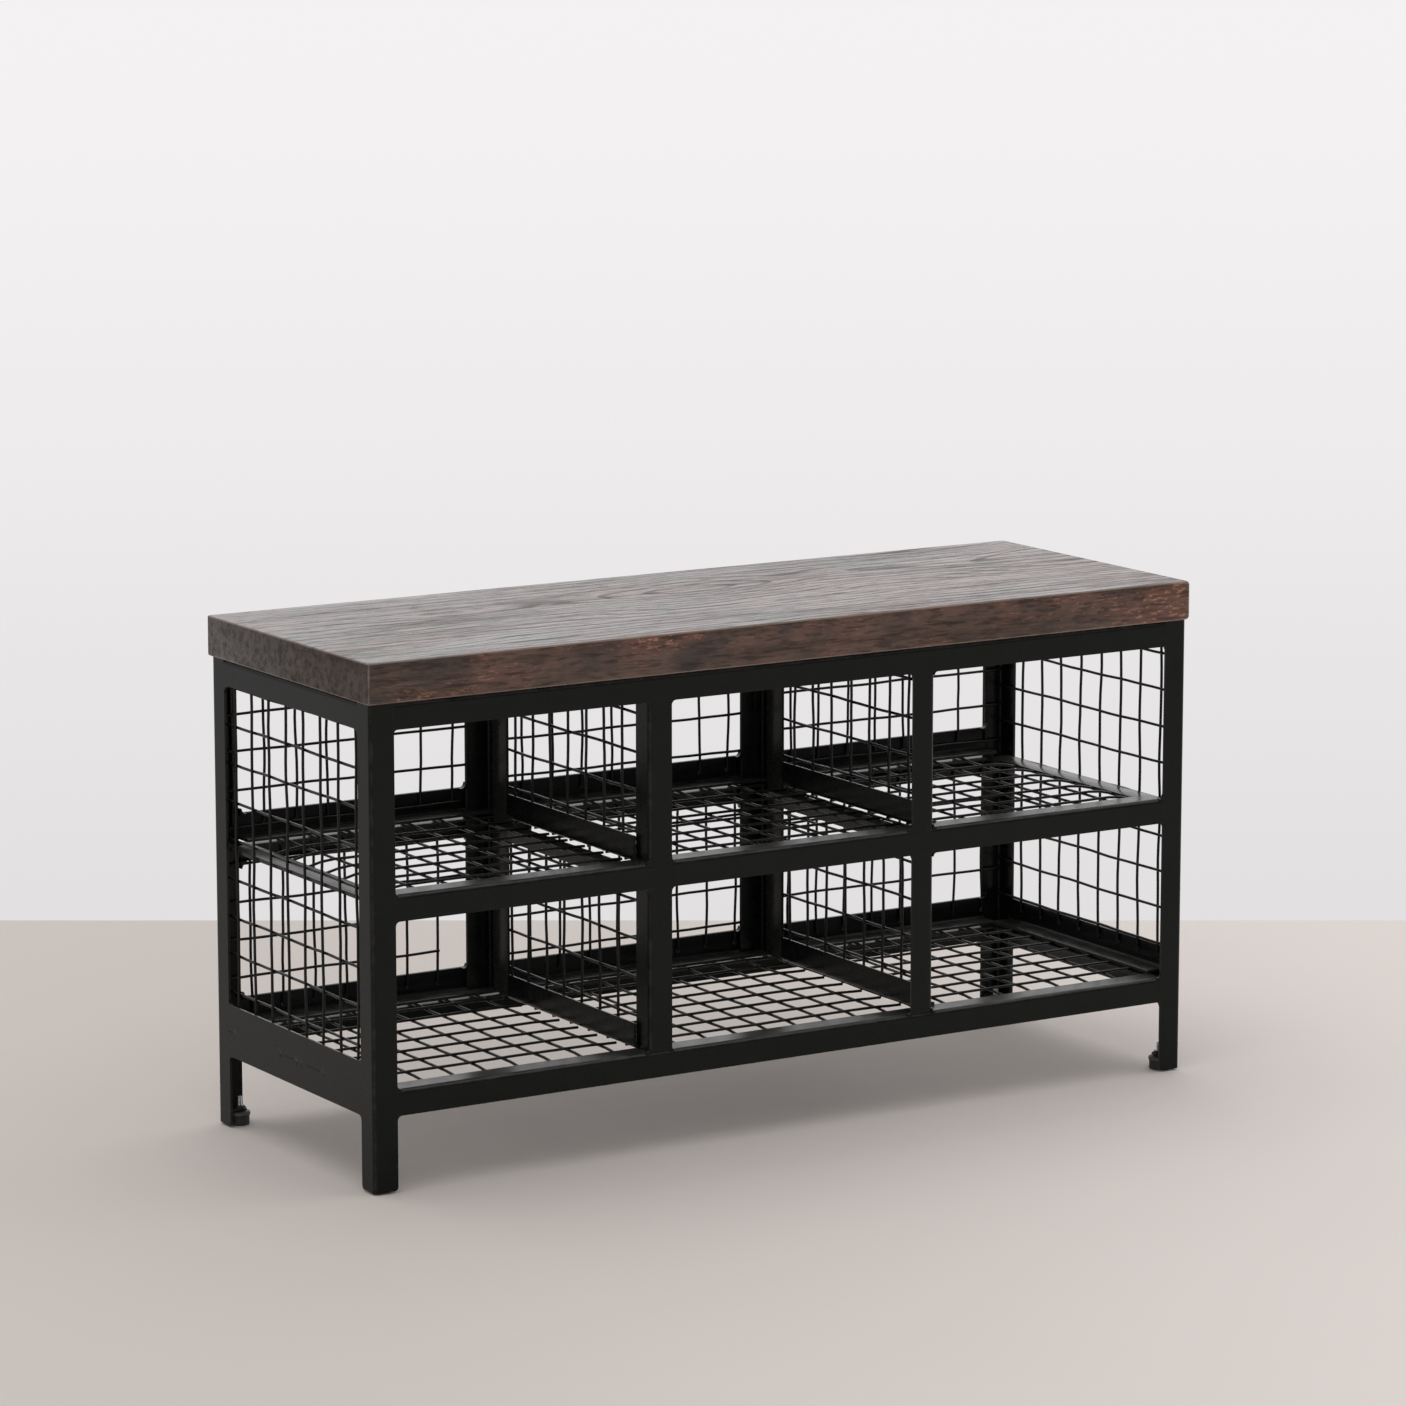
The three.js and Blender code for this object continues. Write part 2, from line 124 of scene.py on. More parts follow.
def cloud(tree, vector, stretch, detail=3.0, offset=(0.0, 0.0, 0.0), roughness=0.5):
    """Noise whose grains measure 1/stretch metres along each axis."""
    moved = put(tree, "Mapping", {"Vector": vector, "Location": offset, "Scale": stretch}).outputs[0]
    sockets = {"Vector": moved, "Scale": 1.0, "Detail": detail, "Roughness": roughness}
    return put(tree, "TexNoise", sockets).outputs[0]


def blend(tree, factor, first, second):
    """Mixes two colours."""
    return put(tree, "Mix", {0: factor, 6: first, 7: second}, data_type="RGBA").outputs[2]


def tone(red, green, blue):
    """A colour with full alpha."""
    return (red, green, blue, 1.0)


def effect(name, inputs, outputs):
    """Starts a node group with named float, colour or vector sockets."""
    tree = bpy.data.node_groups.new(name, "ShaderNodeTree")
    kinds = {"f": "NodeSocketFloat", "v": "NodeSocketVector", "c": "NodeSocketColor"}
    for socket in inputs:
        tree.interface.new_socket(socket[1:], in_out="INPUT", socket_type=kinds[socket[0]])
    for socket in outputs:
        tree.interface.new_socket(socket[1:], in_out="OUTPUT", socket_type=kinds[socket[0]])
    return tree, tree.nodes.new("NodeGroupInput").outputs, tree.nodes.new("NodeGroupOutput")


def place(tree, group, sockets):
    """Places a shared effect in a material with its own values."""
    made = tree.nodes.new("ShaderNodeGroup")
    made.node_tree = group
    return feed(tree, made, sockets).outputs


def finish_for(name):
    """Starts a material: its tree, its shader, and the object's own coordinates."""
    made = bpy.data.materials.new(name)
    made.use_nodes = True
    tree = made.node_tree
    shader = tree.nodes["Principled BSDF"]
    return made, tree, shader, put(tree, "TexCoord").outputs["Object"]


def wire_up(tree, shader, colour, roughness, height, depth):
    """Feeds colour, roughness and a bump of the given depth in metres into a shader."""
    tree.links.new(colour, shader.inputs["Base Color"])
    tree.links.new(roughness, shader.inputs["Roughness"])
    bump = put(tree, "Bump", {"Height": height, "Distance": depth, "Strength": 1.0})
    tree.links.new(bump.outputs[0], shader.inputs["Normal"])


# Worn edges: the wear painted on a mesh, broken up by noise, as a mask.
worn_edges, given, result = effect("worn_edges", ["vPlace", "fWear", "fGrain", "fAmount"], ["fMask"])
scaled = put(worn_edges, "VectorMath", {0: given["Place"], "Scale": given["Grain"]}, operation="SCALE")
broken = put(worn_edges, "TexNoise", {"Vector": scaled.outputs[0], "Scale": 1.0, "Detail": 4.0})
chipped = calc(worn_edges, "MULTIPLY_ADD", broken.outputs[0], 1.4, -0.7)
masked = spread(worn_edges, calc(worn_edges, "ADD", given["Wear"], chipped), 0.35, 1.0)
worn_edges.links.new(calc(worn_edges, "MULTIPLY", masked, given["Amount"]), result.inputs["Mask"])

seat_low, seat_high = corners("seat_top")
SEAT_EDGE = 1.8  # rounding of the long edges
SEAT_CORNERS = {"left": 2.4, "right": 4.0}  # rounding of the upright corners
SOFT_CORNER = 2.2  # extra rounding of the edges towards the right end
SOFT_REACH = 7.0  # distance from the right end over which it fades
SEAT_STEP = 16.0
HALVES_MEET = 12.0  # distance from the middle line at which the front and back halves join


def board(low, high):
    """A slab as rings stacked from the underside to the top. A ring is a rectangle with rounded
    corners, moved inwards by an inset that follows a quarter circle at the lower and upper edge, wider
    towards the right end. The long sides wander by a few tenths of a millimetre, as sanded edges do."""
    quarter = np.linspace(0.0, math.pi / 2.0, 7)[:, None]
    arc = np.linspace(0.0, math.pi / 2.0, 7)
    r_left, r_right = SEAT_CORNERS["left"], SEAT_CORNERS["right"]
    along = np.arange(low[0] + r_left + 0.4, high[0] - r_right - 0.4, SEAT_STEP)
    middle = [-HALVES_MEET]
    x = np.concatenate([[low[0]], low[0] + r_left * (1 - np.cos(arc)), along,
                        high[0] - r_right * (1 - np.cos(arc[::-1])), [high[0]]])
    y = np.concatenate([middle, low[1] + r_left * (1 - np.sin(arc)), np.full(len(along), low[1]),
                        low[1] + r_right * (1 - np.sin(arc[::-1])), middle])
    corner = np.concatenate([[0.0], np.sin(2 * arc), along * 0.0, 0.6 * np.sin(2 * arc), [0.0]])
    push_x = np.concatenate([[1.0], np.cos(arc), along * 0.0, -np.cos(arc[::-1]), [-1.0]])
    push_y = np.concatenate([[0.0], np.sin(arc), along * 0.0 + 1.0, np.sin(arc[::-1]), [0.0]])
    sway = 0.12 * np.sin(x / 47.0) + 0.1 * np.sin(x / 21.0 + 1.0) + 0.22
    edge = SEAT_EDGE + SOFT_CORNER * np.exp(-(((high[0] - x) / SOFT_REACH) ** 2))
    inset = np.concatenate([edge[None] + 0.5, edge * (1 - np.sin(quarter))])
    inset = np.concatenate([inset, inset[::-1]])
    rise = np.concatenate([0.0 * edge[None], edge * (1 - np.cos(quarter))])
    heights = np.concatenate([low[2] + rise, high[2] - rise[::-1]])
    straight = push_y > 0.99
    front_x = x + push_x * inset
    front_y = y + push_y * (inset + sway * straight)
    back_y = -front_y + (0.1 * np.sin(x / 33.0) - 0.1) * straight
    front = np.stack([front_x, front_y, heights], -1)
    back = np.stack([front_x, back_y, heights], -1)
    rings = np.concatenate([front, back[:, ::-1]], axis=1)
    on_edge = 1.0 * ((inset > 0.02) & (inset < edge))
    on_edge = np.concatenate([on_edge, on_edge[:, ::-1]], axis=1)
    ring_wear = np.concatenate([corner, corner[::-1]])
    return rings[None], np.maximum(on_edge, 0.9 * ring_wear)[None]


seat = skin("seat_board", board(seat_low, seat_high))

timber, tree, shader, spot = finish_for("stained_hardwood")
shader.inputs["Specular IOR Level"].default_value = 0.25
shader.inputs["Coat Roughness"].default_value = 0.13
PITH = (0.060, 0.447)  # (y, z) of the tree's middle, in metres
RING = 0.0105  # width of a year ring, in metres
slow_a = cloud(tree, spot, (2.6, 8.0, 8.0), 1.0, (0.0, 0.3, 0.0))
slow_b = cloud(tree, spot, (3.2, 6.0, 6.0), 1.0, (4.2, 1.3, 7.0))
axes = put(tree, "SeparateXYZ", {0: spot}).outputs
aside = calc(tree, "MULTIPLY_ADD", slow_a, 0.13, -0.065 - PITH[0])
aside = calc(tree, "ADD", axes["Y"], aside)
above = calc(tree, "MULTIPLY_ADD", slow_b, 0.12, -0.06 - PITH[1])
above = calc(tree, "ADD", axes["Z"], above)
above = calc(tree, "MULTIPLY_ADD", axes["X"], -0.03, above)
reach = calc(tree, "ADD", calc(tree, "MULTIPLY", aside, aside), calc(tree, "MULTIPLY", above, above))
fine = cloud(tree, spot, (9.0, 60.0, 60.0), 3.0, (1.0, 2.0, 3.0))
fine = calc(tree, "MULTIPLY", fine, 0.6)
ring = calc(tree, "MULTIPLY_ADD", calc(tree, "SQRT", reach), 1.0 / RING, fine)
year = calc(tree, "FRACT", ring)
late = calc(tree, "MULTIPLY", spread(tree, year, 0.66, 0.92), spread(tree, year, 1.0, 0.95))
facing = put(tree, "SeparateXYZ", {0: put(tree, "NewGeometry").outputs["Normal"]}).outputs
flat_sawn = spread(tree, calc(tree, "ABSOLUTE", facing["Z"]), 0.4, 0.9, 0.10, 1.0)
figure = cloud(tree, spot, (3.0, 9.0, 9.0), 2.0, (7.7, 1.0, 3.0))
figure = spread(tree, calc(tree, "MULTIPLY_ADD", axes["X"], 0.35, figure), 0.30, 0.52, 0.15, 1.0)
late = calc(tree, "MULTIPLY", late, calc(tree, "MULTIPLY", flat_sawn, figure))
streak = cloud(tree, spot, (5.0, 120.0, 120.0), 5.0, (0.0, 0.0, 0.0), 0.72)
end_grain = spread(tree, calc(tree, "ABSOLUTE", facing["X"]), 0.5, 0.9)
dash = cloud(tree, spot, (46.0, 230.0, 330.0), 3.0, (3.0, 3.0, 3.0), 0.6)
dash = calc(tree, "ADD", dash, calc(tree, "MULTIPLY", end_grain, 0.12))
mottle = cloud(tree, spot, (18.0, 24.0, 24.0), 4.0, (6.0, 0.4, 1.7), 0.6)
warm = cloud(tree, spot, (4.4, 11.0, 11.0), 3.0, (2.4, 8.0, 3.0), 0.6)
warm = spread(tree, calc(tree, "MULTIPLY_ADD", axes["X"], 0.22, warm), 0.46, 0.66)
mottle = spread(tree, mottle, 0.34, 0.66)
brown = blend(tree, mottle, tone(0.034, 0.0195, 0.0150), tone(0.108, 0.0545, 0.0375))
brown = blend(tree, calc(tree, "MULTIPLY", warm, 0.55), brown, tone(0.150, 0.052, 0.031))
brown = blend(tree, spread(tree, dash, 0.36, 0.50, 0.65, 0.0), brown, tone(0.016, 0.011, 0.009))
flecks = cloud(tree, spot, (110.0, 330.0, 430.0), 3.0, (0.0, 5.0, 2.0), 0.65)
flecks = spread(tree, flecks, 0.54, 0.64)
flecks = calc(tree, "MULTIPLY", flecks, calc(tree, "MULTIPLY_ADD", warm, 0.8, 0.05))
flecks = calc(tree, "MULTIPLY", flecks, calc(tree, "MULTIPLY_ADD", flat_sawn, -0.75, 1.08))
brown = blend(tree, flecks, brown, tone(0.37, 0.175, 0.11))
brown = blend(tree, calc(tree, "MULTIPLY", late, 0.9), brown, tone(0.014, 0.009, 0.008))
brown = blend(tree, spread(tree, streak, 0.46, 0.70, 0.0, 0.55), brown, tone(0.020, 0.014, 0.011))
wear = put(tree, "Attribute", attribute_name="wear").outputs["Fac"]
brown = blend(tree, calc(tree, "MULTIPLY", end_grain, 0.72), brown, tone(0.024, 0.0165, 0.0125))
rubbed = place(tree, worn_edges, {"Place": spot, "Wear": wear, "Grain": 60.0, "Amount": 0.5})["Mask"]
brown = blend(tree, rubbed, brown, tone(0.30, 0.23, 0.19))
patch = cloud(tree, spot, (2.6, 8.0, 8.0), 3.0, (1.1, 4.0, 2.0))
sheen = calc(tree, "MULTIPLY_ADD", spread(tree, streak, 0.36, 0.68), 0.2, 0.24)
sheen = calc(tree, "MULTIPLY_ADD", end_grain, 0.2, sheen)
varnish = calc(tree, "MULTIPLY_ADD", spread(tree, streak, 0.40, 0.66), -0.38, 0.86)
varnish = calc(tree, "MULTIPLY_ADD", spread(tree, dash, 0.54, 0.38), -0.32, varnish)
varnish = calc(tree, "MULTIPLY_ADD", late, -0.95, varnish)
varnish = calc(tree, "MULTIPLY_ADD", spread(tree, patch, 0.36, 0.62), -0.18, varnish)
varnish = calc(tree, "MULTIPLY_ADD", end_grain, -0.25, varnish)
tree.links.new(put(tree, "Clamp", {0: varnish}).outputs[0], shader.inputs["Coat Weight"])
relief = calc(tree, "MULTIPLY_ADD", late, -0.8, calc(tree, "MULTIPLY", streak, 0.8))
relief = calc(tree, "MULTIPLY_ADD", dash, 0.5, relief)
wire_up(tree, shader, brown, sheen, relief, 0.000028)
seat.data.materials.append(timber)
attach(seat, "bench")
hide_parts("seat_top")

# ---------------------------------------------------------------------------------- angle iron rack
# Hot-rolled steel angle, 25 mm across a flange, welded together and sprayed satin black. Legs
# stand at the corners with their toes rounded at the foot, and rails run between them.
STEEL = 3.0  # thickness of a flange
HEEL = 4.2  # rounding outside the bend
ROOT = 3.0  # rounding inside the bend
TOE = 1.3  # rounding inside the edge of a flange
CREASE = 0.18  # rounding of the sharp edges
FOOT_ROUND = 4.0  # rounding of the toes at the foot of a leg
GAP = 0.3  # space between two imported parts, which reach closes
HAIR = 0.03  # how far a rail stays back from the face of a leg


def angle_section(width_a, width_b):
    """Section of rolled angle as a closed loop of (a, b) points and their wear. The outer points run
    from one toe round the heel's arc to the other toe, and the inner points run back round the root's
    arc, one for each outer point. The toes are square outside and rounded inside."""
    arc = np.linspace(0.0, math.pi / 2.0, 7)
    half = math.sqrt(0.5)
    lead_a = [width_a, width_a - CREASE, width_a - 0.6, HEEL + 0.5]
    lead_b = [width_b, width_b - CREASE, width_b - 0.6, HEEL + 0.5]
    outer_a = np.concatenate([lead_a, HEEL * (1 - np.sin(arc)), [0.0, 0.0, 0.0, CREASE]])
    outer_b = np.concatenate([[CREASE, 0.0, 0.0, 0.0], HEEL * (1 - np.cos(arc)), lead_b[::-1]])
    slope = [0.0, TOE * (1 - half), TOE]
    inner_a = np.concatenate([width_a - np.array(slope), [STEEL + ROOT + 0.5],
                              STEEL + ROOT * (1 - np.sin(arc)), [STEEL, STEEL],
                              [STEEL - TOE * (1 - half), STEEL - TOE]])
    inner_b = np.concatenate([[STEEL - TOE, STEEL - TOE * (1 - half), STEEL, STEEL],
                              STEEL + ROOT * (1 - np.cos(arc)), [STEEL + ROOT + 0.5],
                              width_b - np.array(slope)[::-1]])
    loop = [np.concatenate([outer_a, inner_a[::-1]]), np.concatenate([outer_b, inner_b[::-1]])]
    toe_wear = [1.0, 1.0, 0.0, 0.0]
    outer_wear = np.concatenate([toe_wear, 0.75 * np.sin(2 * arc), toe_wear[::-1]])
    inner_wear = np.concatenate([[1.0, 1.0, 0.0], arc * 0.0, [0.0, 0.0, 0.0, 1.0, 1.0]])
    return np.stack(loop, -1), np.concatenate([outer_wear, inner_wear[::-1]])


def flat_section(width, thickness):
    """Section of flat bar as a closed loop of (a, b) points with rounded corners, and their wear."""
    r, s = 0.5, 0.15
    a = np.array([0.0, s, r, width - r, width - s, width])
    lower = np.array([r, s, 0.0, 0.0, s, r])
    loop = np.stack([np.concatenate([a, a[::-1]]), np.concatenate([lower, thickness - lower])], -1)
    half_wear = np.array([1.0, 1.0, 0.0, 0.0, 1.0, 1.0])
    return loop, np.concatenate([half_wear, half_wear])


def iron_bar(node, along, heel, reach=(0.0, 0.0), set_back=0.0, rounded_foot=False, flat=False):
    """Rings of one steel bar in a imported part's box: its section carried straight along one axis. The
    heel's side of the box is given by a sign for each of the other two axes. reach lengthens the two
    ends, set_back moves the outer faces inwards, and a rounded foot draws in the toes at the start."""
    low, high = corners(node)
    sides = [axis for axis in range(3) if axis != along]
    widths = (high - low)[sides]
    start, end = low[along] - reach[0], high[along] + reach[1]
    stations = np.array([start, start + 0.5, end - 0.5, end])
    trims = np.zeros(4)
    if rounded_foot:
        turn = np.linspace(0.0, math.pi / 2.0, 6)
        stations = np.concatenate([start + FOOT_ROUND * (1 - np.cos(turn)), stations[2:]])
        trims = np.concatenate([FOOT_ROUND * (1 - np.sin(turn)), [0.0, 0.0]])
    rings, wears = [], []
    for station, trim in zip(stations, trims):
        section, wear = (flat_section if flat else angle_section)(*(widths - trim))
        ring = np.zeros((len(section), 3))
        ring[:, along] = station
        for k, axis in enumerate(sides):
            inward = section[:, k] + set_back
            ring[:, axis] = low[axis] + inward if heel[k] < 0 else high[axis] - inward
        rings.append(ring)
        wears.append(wear)
    wears = np.array(wears)
    wears[[0, -1]] = 1.0
    return np.array(rings)[None], wears[None]


# Sprayed paint: fine orange peel over slow unevenness of the rolled steel.
paint_skin, given, result = effect("paint_skin", ["vPlace", "fPeel"], ["fHeight", "fCloud"])
peeled = put(paint_skin, "VectorMath", {0: given["Place"], "Scale": given["Peel"]}, operation="SCALE")
peel = put(paint_skin, "TexNoise", {"Vector": peeled.outputs[0], "Scale": 1.0, "Detail": 2.0}).outputs[0]
roll = cloud(paint_skin, given["Place"], (60.0, 60.0, 60.0), 3.0)
paint_skin.links.new(calc(paint_skin, "MULTIPLY_ADD", roll, 2.5, peel), result.inputs["Height"])
paint_skin.links.new(roll, result.inputs["Cloud"])

# Dust and painted sheen: a thin pale film that gathers in patches on faces that look upwards, partly
# settled dust and partly a painted sheen that lightens those faces. Upward says how much a face looks up,
# for the gloss that such faces show.
dust_and_sheen, given, result = effect("dust_and_sheen", ["vPlace", "fAmount"], ["fMask", "fUpward"])
facing = put(dust_and_sheen, "SeparateXYZ", {0: put(dust_and_sheen, "NewGeometry").outputs["Normal"]})
upward = spread(dust_and_sheen, facing.outputs["Z"], 0.35, 0.95)
patchy = spread(dust_and_sheen, cloud(dust_and_sheen, given["Place"], (38.0, 38.0, 38.0), 4.0), 0.3, 0.75)
film = calc(dust_and_sheen, "MULTIPLY", upward, calc(dust_and_sheen, "MULTIPLY_ADD", patchy, 0.7, 0.3))
dust_and_sheen.links.new(calc(dust_and_sheen, "MULTIPLY", film, given["Amount"]), result.inputs["Mask"])
dust_and_sheen.links.new(upward, result.inputs["Upward"])


def black_paint(name, base, gloss, peel, depth, worn, dust_and_sheen_amount, specular):
    """Black paint over steel: cloudy base colour, rubbed edges, a pale film of dust and painted sheen and
    a soft gloss on faces that look upwards, orange-peel bump."""
    made, tree, shader, spot = finish_for(name)
    shader.inputs["Specular IOR Level"].default_value = specular
    skin_out = place(tree, paint_skin, {"Place": spot, "Peel": peel})
    low = tone(*(0.75 * c for c in base))
    high = tone(*(1.35 * c for c in base))
    colour = blend(tree, spread(tree, skin_out["Cloud"], 0.3, 0.7), low, high)
    wear = put(tree, "Attribute", attribute_name="wear").outputs["Fac"]
    rubbed = place(tree, worn_edges, {"Place": spot, "Wear": wear, "Grain": 90.0, "Amount": worn})["Mask"]
    # Rubbed places show grey bare metal; on the weld drops this lighter grey is partly a painted glint.
    colour = blend(tree, rubbed, colour, tone(0.055, 0.054, 0.05))
    dust_sheen_out = place(tree, dust_and_sheen, {"Place": spot, "Amount": dust_and_sheen_amount})
    dust_sheen_mask = dust_sheen_out["Mask"]
    # Upward faces turn pale grey: partly settled dust, partly a painted sheen that stands in for the
    # reflection on them.
    colour = blend(tree, dust_sheen_mask, colour, tone(0.20, 0.19, 0.175))
    shader.inputs["Coat Roughness"].default_value = 0.22
    tree.links.new(calc(tree, "MULTIPLY", dust_sheen_out["Upward"], 0.6), shader.inputs["Coat Weight"])
    rough = calc(tree, "MULTIPLY_ADD", skin_out["Cloud"], 0.22, gloss - 0.11)
    rough = calc(tree, "MULTIPLY_ADD", dust_sheen_mask, 0.5, rough)
    wire_up(tree, shader, colour, rough, skin_out["Height"], depth)
    return made


rack_paint = black_paint("rack_paint", (0.0024, 0.0040, 0.0030), 0.28, 900.0, 0.000008, 0.3, 0.3, 0.18)


def fit_steel(node, stack):
    """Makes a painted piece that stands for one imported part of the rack."""
    made = skin(node + "_iron", stack)
    made.data.materials.append(rack_paint)
    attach(made, "bench")
    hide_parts(node)


ENDS = (("left", -1), ("right", 1))
for depth_name, side_y in (("front", -1), ("back", 1)):
    for end_name, side_x in ENDS:
        leg = f"{depth_name}_{end_name}_leg"
        fit_steel(leg, iron_bar(leg, 2, (side_x, side_y), rounded_foot=True))

# Rails run between the legs and reach a little way into them, as the welds join them. They are set
# back by a hair, so that where the two lap only the leg's face shows.
TUCK = 2.2
for node, upward in (("front_top_rail", 1), ("front_mid_rail", 1), ("front_bottom_rail", 1)):
    fit_steel(node, iron_bar(node, 0, (-1, upward), (TUCK, TUCK), HAIR))
for node, upward in (("back_top_rail", 1), ("back_mid_upper_rail", -1), ("back_mid_lower_rail", 1),
                     ("back_bottom_upper_rail", -1), ("back_bottom_lower_rail", 1)):
    fit_steel(node, iron_bar(node, 0, (1, upward), (TUCK, TUCK), HAIR))
for end_name, side_x in ENDS:
    for level, upward in (("top", 1), ("bottom_upper", -1), ("bottom_lower", 1)):
        node = f"{end_name}_{level}_rail"
        fit_steel(node, iron_bar(node, 1, (side_x, upward), (TUCK, TUCK), HAIR))
    node = f"{end_name}_mid_bar"
    fit_steel(node, iron_bar(node, 1, (side_x, 1), flat=True))

# Uprights stand between the rails, two at the front and two at the back. A flat strap beside each
# back upright holds the divider's mesh, and the dividers' own rails run from front to back.
DIVIDER_REACH = 2.6
for end_name, side_x in ENDS:
    node = f"front_{end_name}_upright"
    fit_steel(node, iron_bar(node, 2, (side_x, -1), (GAP, TUCK), 2 * HAIR))
    node = f"back_{end_name}_upright"
    fit_steel(node, iron_bar(node, 2, (1, 1), (GAP, GAP)))
    node = f"{end_name}_divider_strap"
    fit_steel(node, iron_bar(node, 2, (-1, -1), (GAP, GAP), flat=True))
    for level, side, upward in (("bottom", -1, -1), ("mid_upper", -1, -1), ("mid_lower", 1, 1)):
        node = f"{end_name}_divider_{level}_rail"
        fit_steel(node, iron_bar(node, 1, (side, upward), (DIVIDER_REACH, GAP)))

# ---------------------------------------------------------------------------------- welds of the rack
# Weld metal left in the corners of the openings, and the seams between the two bottom rails of each
# end. Both are ground flush with the steel and painted with it, and the seams keep a few nicks.
FLUSH = 0.04  # how far a ground weld stays under the face of the steel
THROUGH = STEEL - 0.1  # how deep a corner weld goes through a flange
UNDER = 1.4  # how far a corner weld reaches under the two bars


def web(plane, face, thick, a, b, sign_a, sign_b, radius):
    """Rings of one ground corner weld: a right angle tucked under two bars, closed by a concave
    quarter circle, carried through the thickness of the steel. plane is the axis across it."""
    axis_a, axis_b = [axis for axis in range(3) if axis != plane]
    turn = np.linspace(0.0, math.pi / 2.0, 7)
    square_a = np.array([radius, radius / 2, 0.0, -UNDER, -UNDER, -UNDER, -UNDER])
    loop_a = np.concatenate([square_a, radius * (1 - np.sin(turn))[::-1]])
    loop_b = np.concatenate([square_a[::-1], radius * (1 - np.cos(turn))[::-1]])
    rings = np.zeros((1, 2, len(loop_a), 3))
    rings[..., plane] = face + np.array([0.0, thick])[:, None]
    rings[..., axis_a] = a + sign_a * loop_a
    rings[..., axis_b] = b + sign_b * loop_b
    return rings


def ground_seam(side, low, high, start, end, seed):
    """Rings of a filled seam along an end: a flat strip whose outer face lies flush, with a narrow
    groove along its middle that opens to half a millimetre where a smooth bump function of the
    distance to a few random places says so."""
    rng = np.random.default_rng(seed)
    run = np.linspace(start, end, 90)
    nick, width = rng.uniform(start, end, (5, 1)), rng.uniform(6.0, 20.0, (5, 1))
    groove = 0.6 * np.exp(-(((run - nick) / width) ** 4)).max(0)
    middle = (low + high) / 2
    level = np.array([low, middle - 0.5, middle - 0.3, middle + 0.3, middle + 0.5, high])
    rings = np.zeros((1, len(run), 12, 3))
    rings[0, :, :, 0] = side * rack_high[0]
    rings[0, :, 2:4, 0] -= side * groove[:, None]
    rings[0, :, 6:, 0] -= side * 1.2
    rings[0, :, :, 1] = run[:, None]
    rings[0, :, :, 2] = np.concatenate([level, level[::-1]])
    return rings


rack_low = corners("front_left_leg")[0]
rack_high = corners("back_right_leg")[1]
leg_toe = corners("back_right_leg")[0]
front_left, front_right = corners("front_left_upright"), corners("front_right_upright")
back_left, back_right = corners("back_left_upright"), corners("back_right_upright")
bottom_rail, mid_rail, top_rail = (corners(f"front_{n}_rail") for n in ("bottom", "mid", "top"))
end_sill = corners("left_bottom_upper_rail")[1][2]
end_base = corners("left_bottom_lower_rail")[0][2]
back_sill = corners("back_mid_upper_rail")[1][2]
back_head = corners("back_mid_lower_rail")[0][2]
rng = np.random.default_rng(5)
webs = []
front_edges = [(-leg_toe[0], front_left[0][0]), (front_left[1][0], front_right[0][0]),
               (front_right[1][0], leg_toe[0])]
front_levels = [(bottom_rail[1][2], mid_rail[0][2]), (mid_rail[1][2], top_rail[0][2])]
for x_pair in front_edges:
    for z_pair in front_levels:
        for x, sign_x in zip(x_pair, (1, -1)):
            for z, sign_z in zip(z_pair, (1, -1)):
                radius = rng.uniform(2.6, 4.6)
                webs.append(web(1, rack_low[1] + FLUSH, THROUGH, x, z, sign_x, sign_z, radius))
end_corners = ((end_sill, 1, 4.0), (top_rail[0][2], -1, 8.5), (end_base, -1, 5.0))
for side in (-1, 1):
    face_x, face_y = side * (rack_high[0] - FLUSH), side * (rack_high[1] - FLUSH)
    for y, sign_y in ((-leg_toe[1], 1), (leg_toe[1], -1)):
        for z, sign_z, radius in end_corners:
            webs.append(web(0, face_x, -side * THROUGH, y, z, sign_y, sign_z, radius))
    for x, sign_x in ((-leg_toe[0], 1), (leg_toe[0], -1)):
        webs.append(web(1, face_y, -side * THROUGH, x, bottom_rail[0][2], sign_x, -1, 4.5))
back_edges = [(-leg_toe[0], back_left[0][0]), (back_left[1][0], back_right[0][0]),
              (back_right[1][0], leg_toe[0])]
back_corners = ((back_sill, 1), (top_rail[0][2], -1), (end_sill, 1), (back_head, -1))
BACK_WEB = 5.8  # how deep a weld goes in a corner of the back
back_face = back_left[1][1] - STEEL + 0.2
for x_pair in back_edges:
    for z, sign_z in back_corners:
        for x, sign_x in zip(x_pair, (1, -1)):
            webs.append(web(1, back_face, BACK_WEB, x, z, sign_x, sign_z, rng.uniform(4.0, 6.0)))
webs = np.concatenate(webs)
stacks = [(webs, np.zeros(webs.shape[:3]))]
SEAM_LOW, SEAM_HIGH = 90.0, 102.8
for side in (-1, 1):
    seam = ground_seam(side, SEAM_LOW, SEAM_HIGH, -leg_toe[1] + 0.05, leg_toe[1] - 0.05, 7 + side)
    stacks.append((seam, np.zeros(seam.shape[:3])))
ground = skin("ground_welds", *stacks)
ground.data.materials.append(rack_paint)
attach(ground, "bench")

# ---------------------------------------------------------------------------------- wire mesh
# Round steel wire, welded at every crossing in two layers and a little wavy from handling, with a
# weld dot where each wire ends on the steel. It carries the same black paint, smoother and glossier.
WIRE = 1.4  # radius
LAYER = 2.4  # distance between the middles of two crossed wires, pressed together by the weld
AROUND = 10  # points round a wire
# Wear on every weld drop, which the rubbed colour turns into lighter patches: partly bare metal, partly a
# painted glint on the drops.
DROP_WEAR_AND_GLINT = 0.6


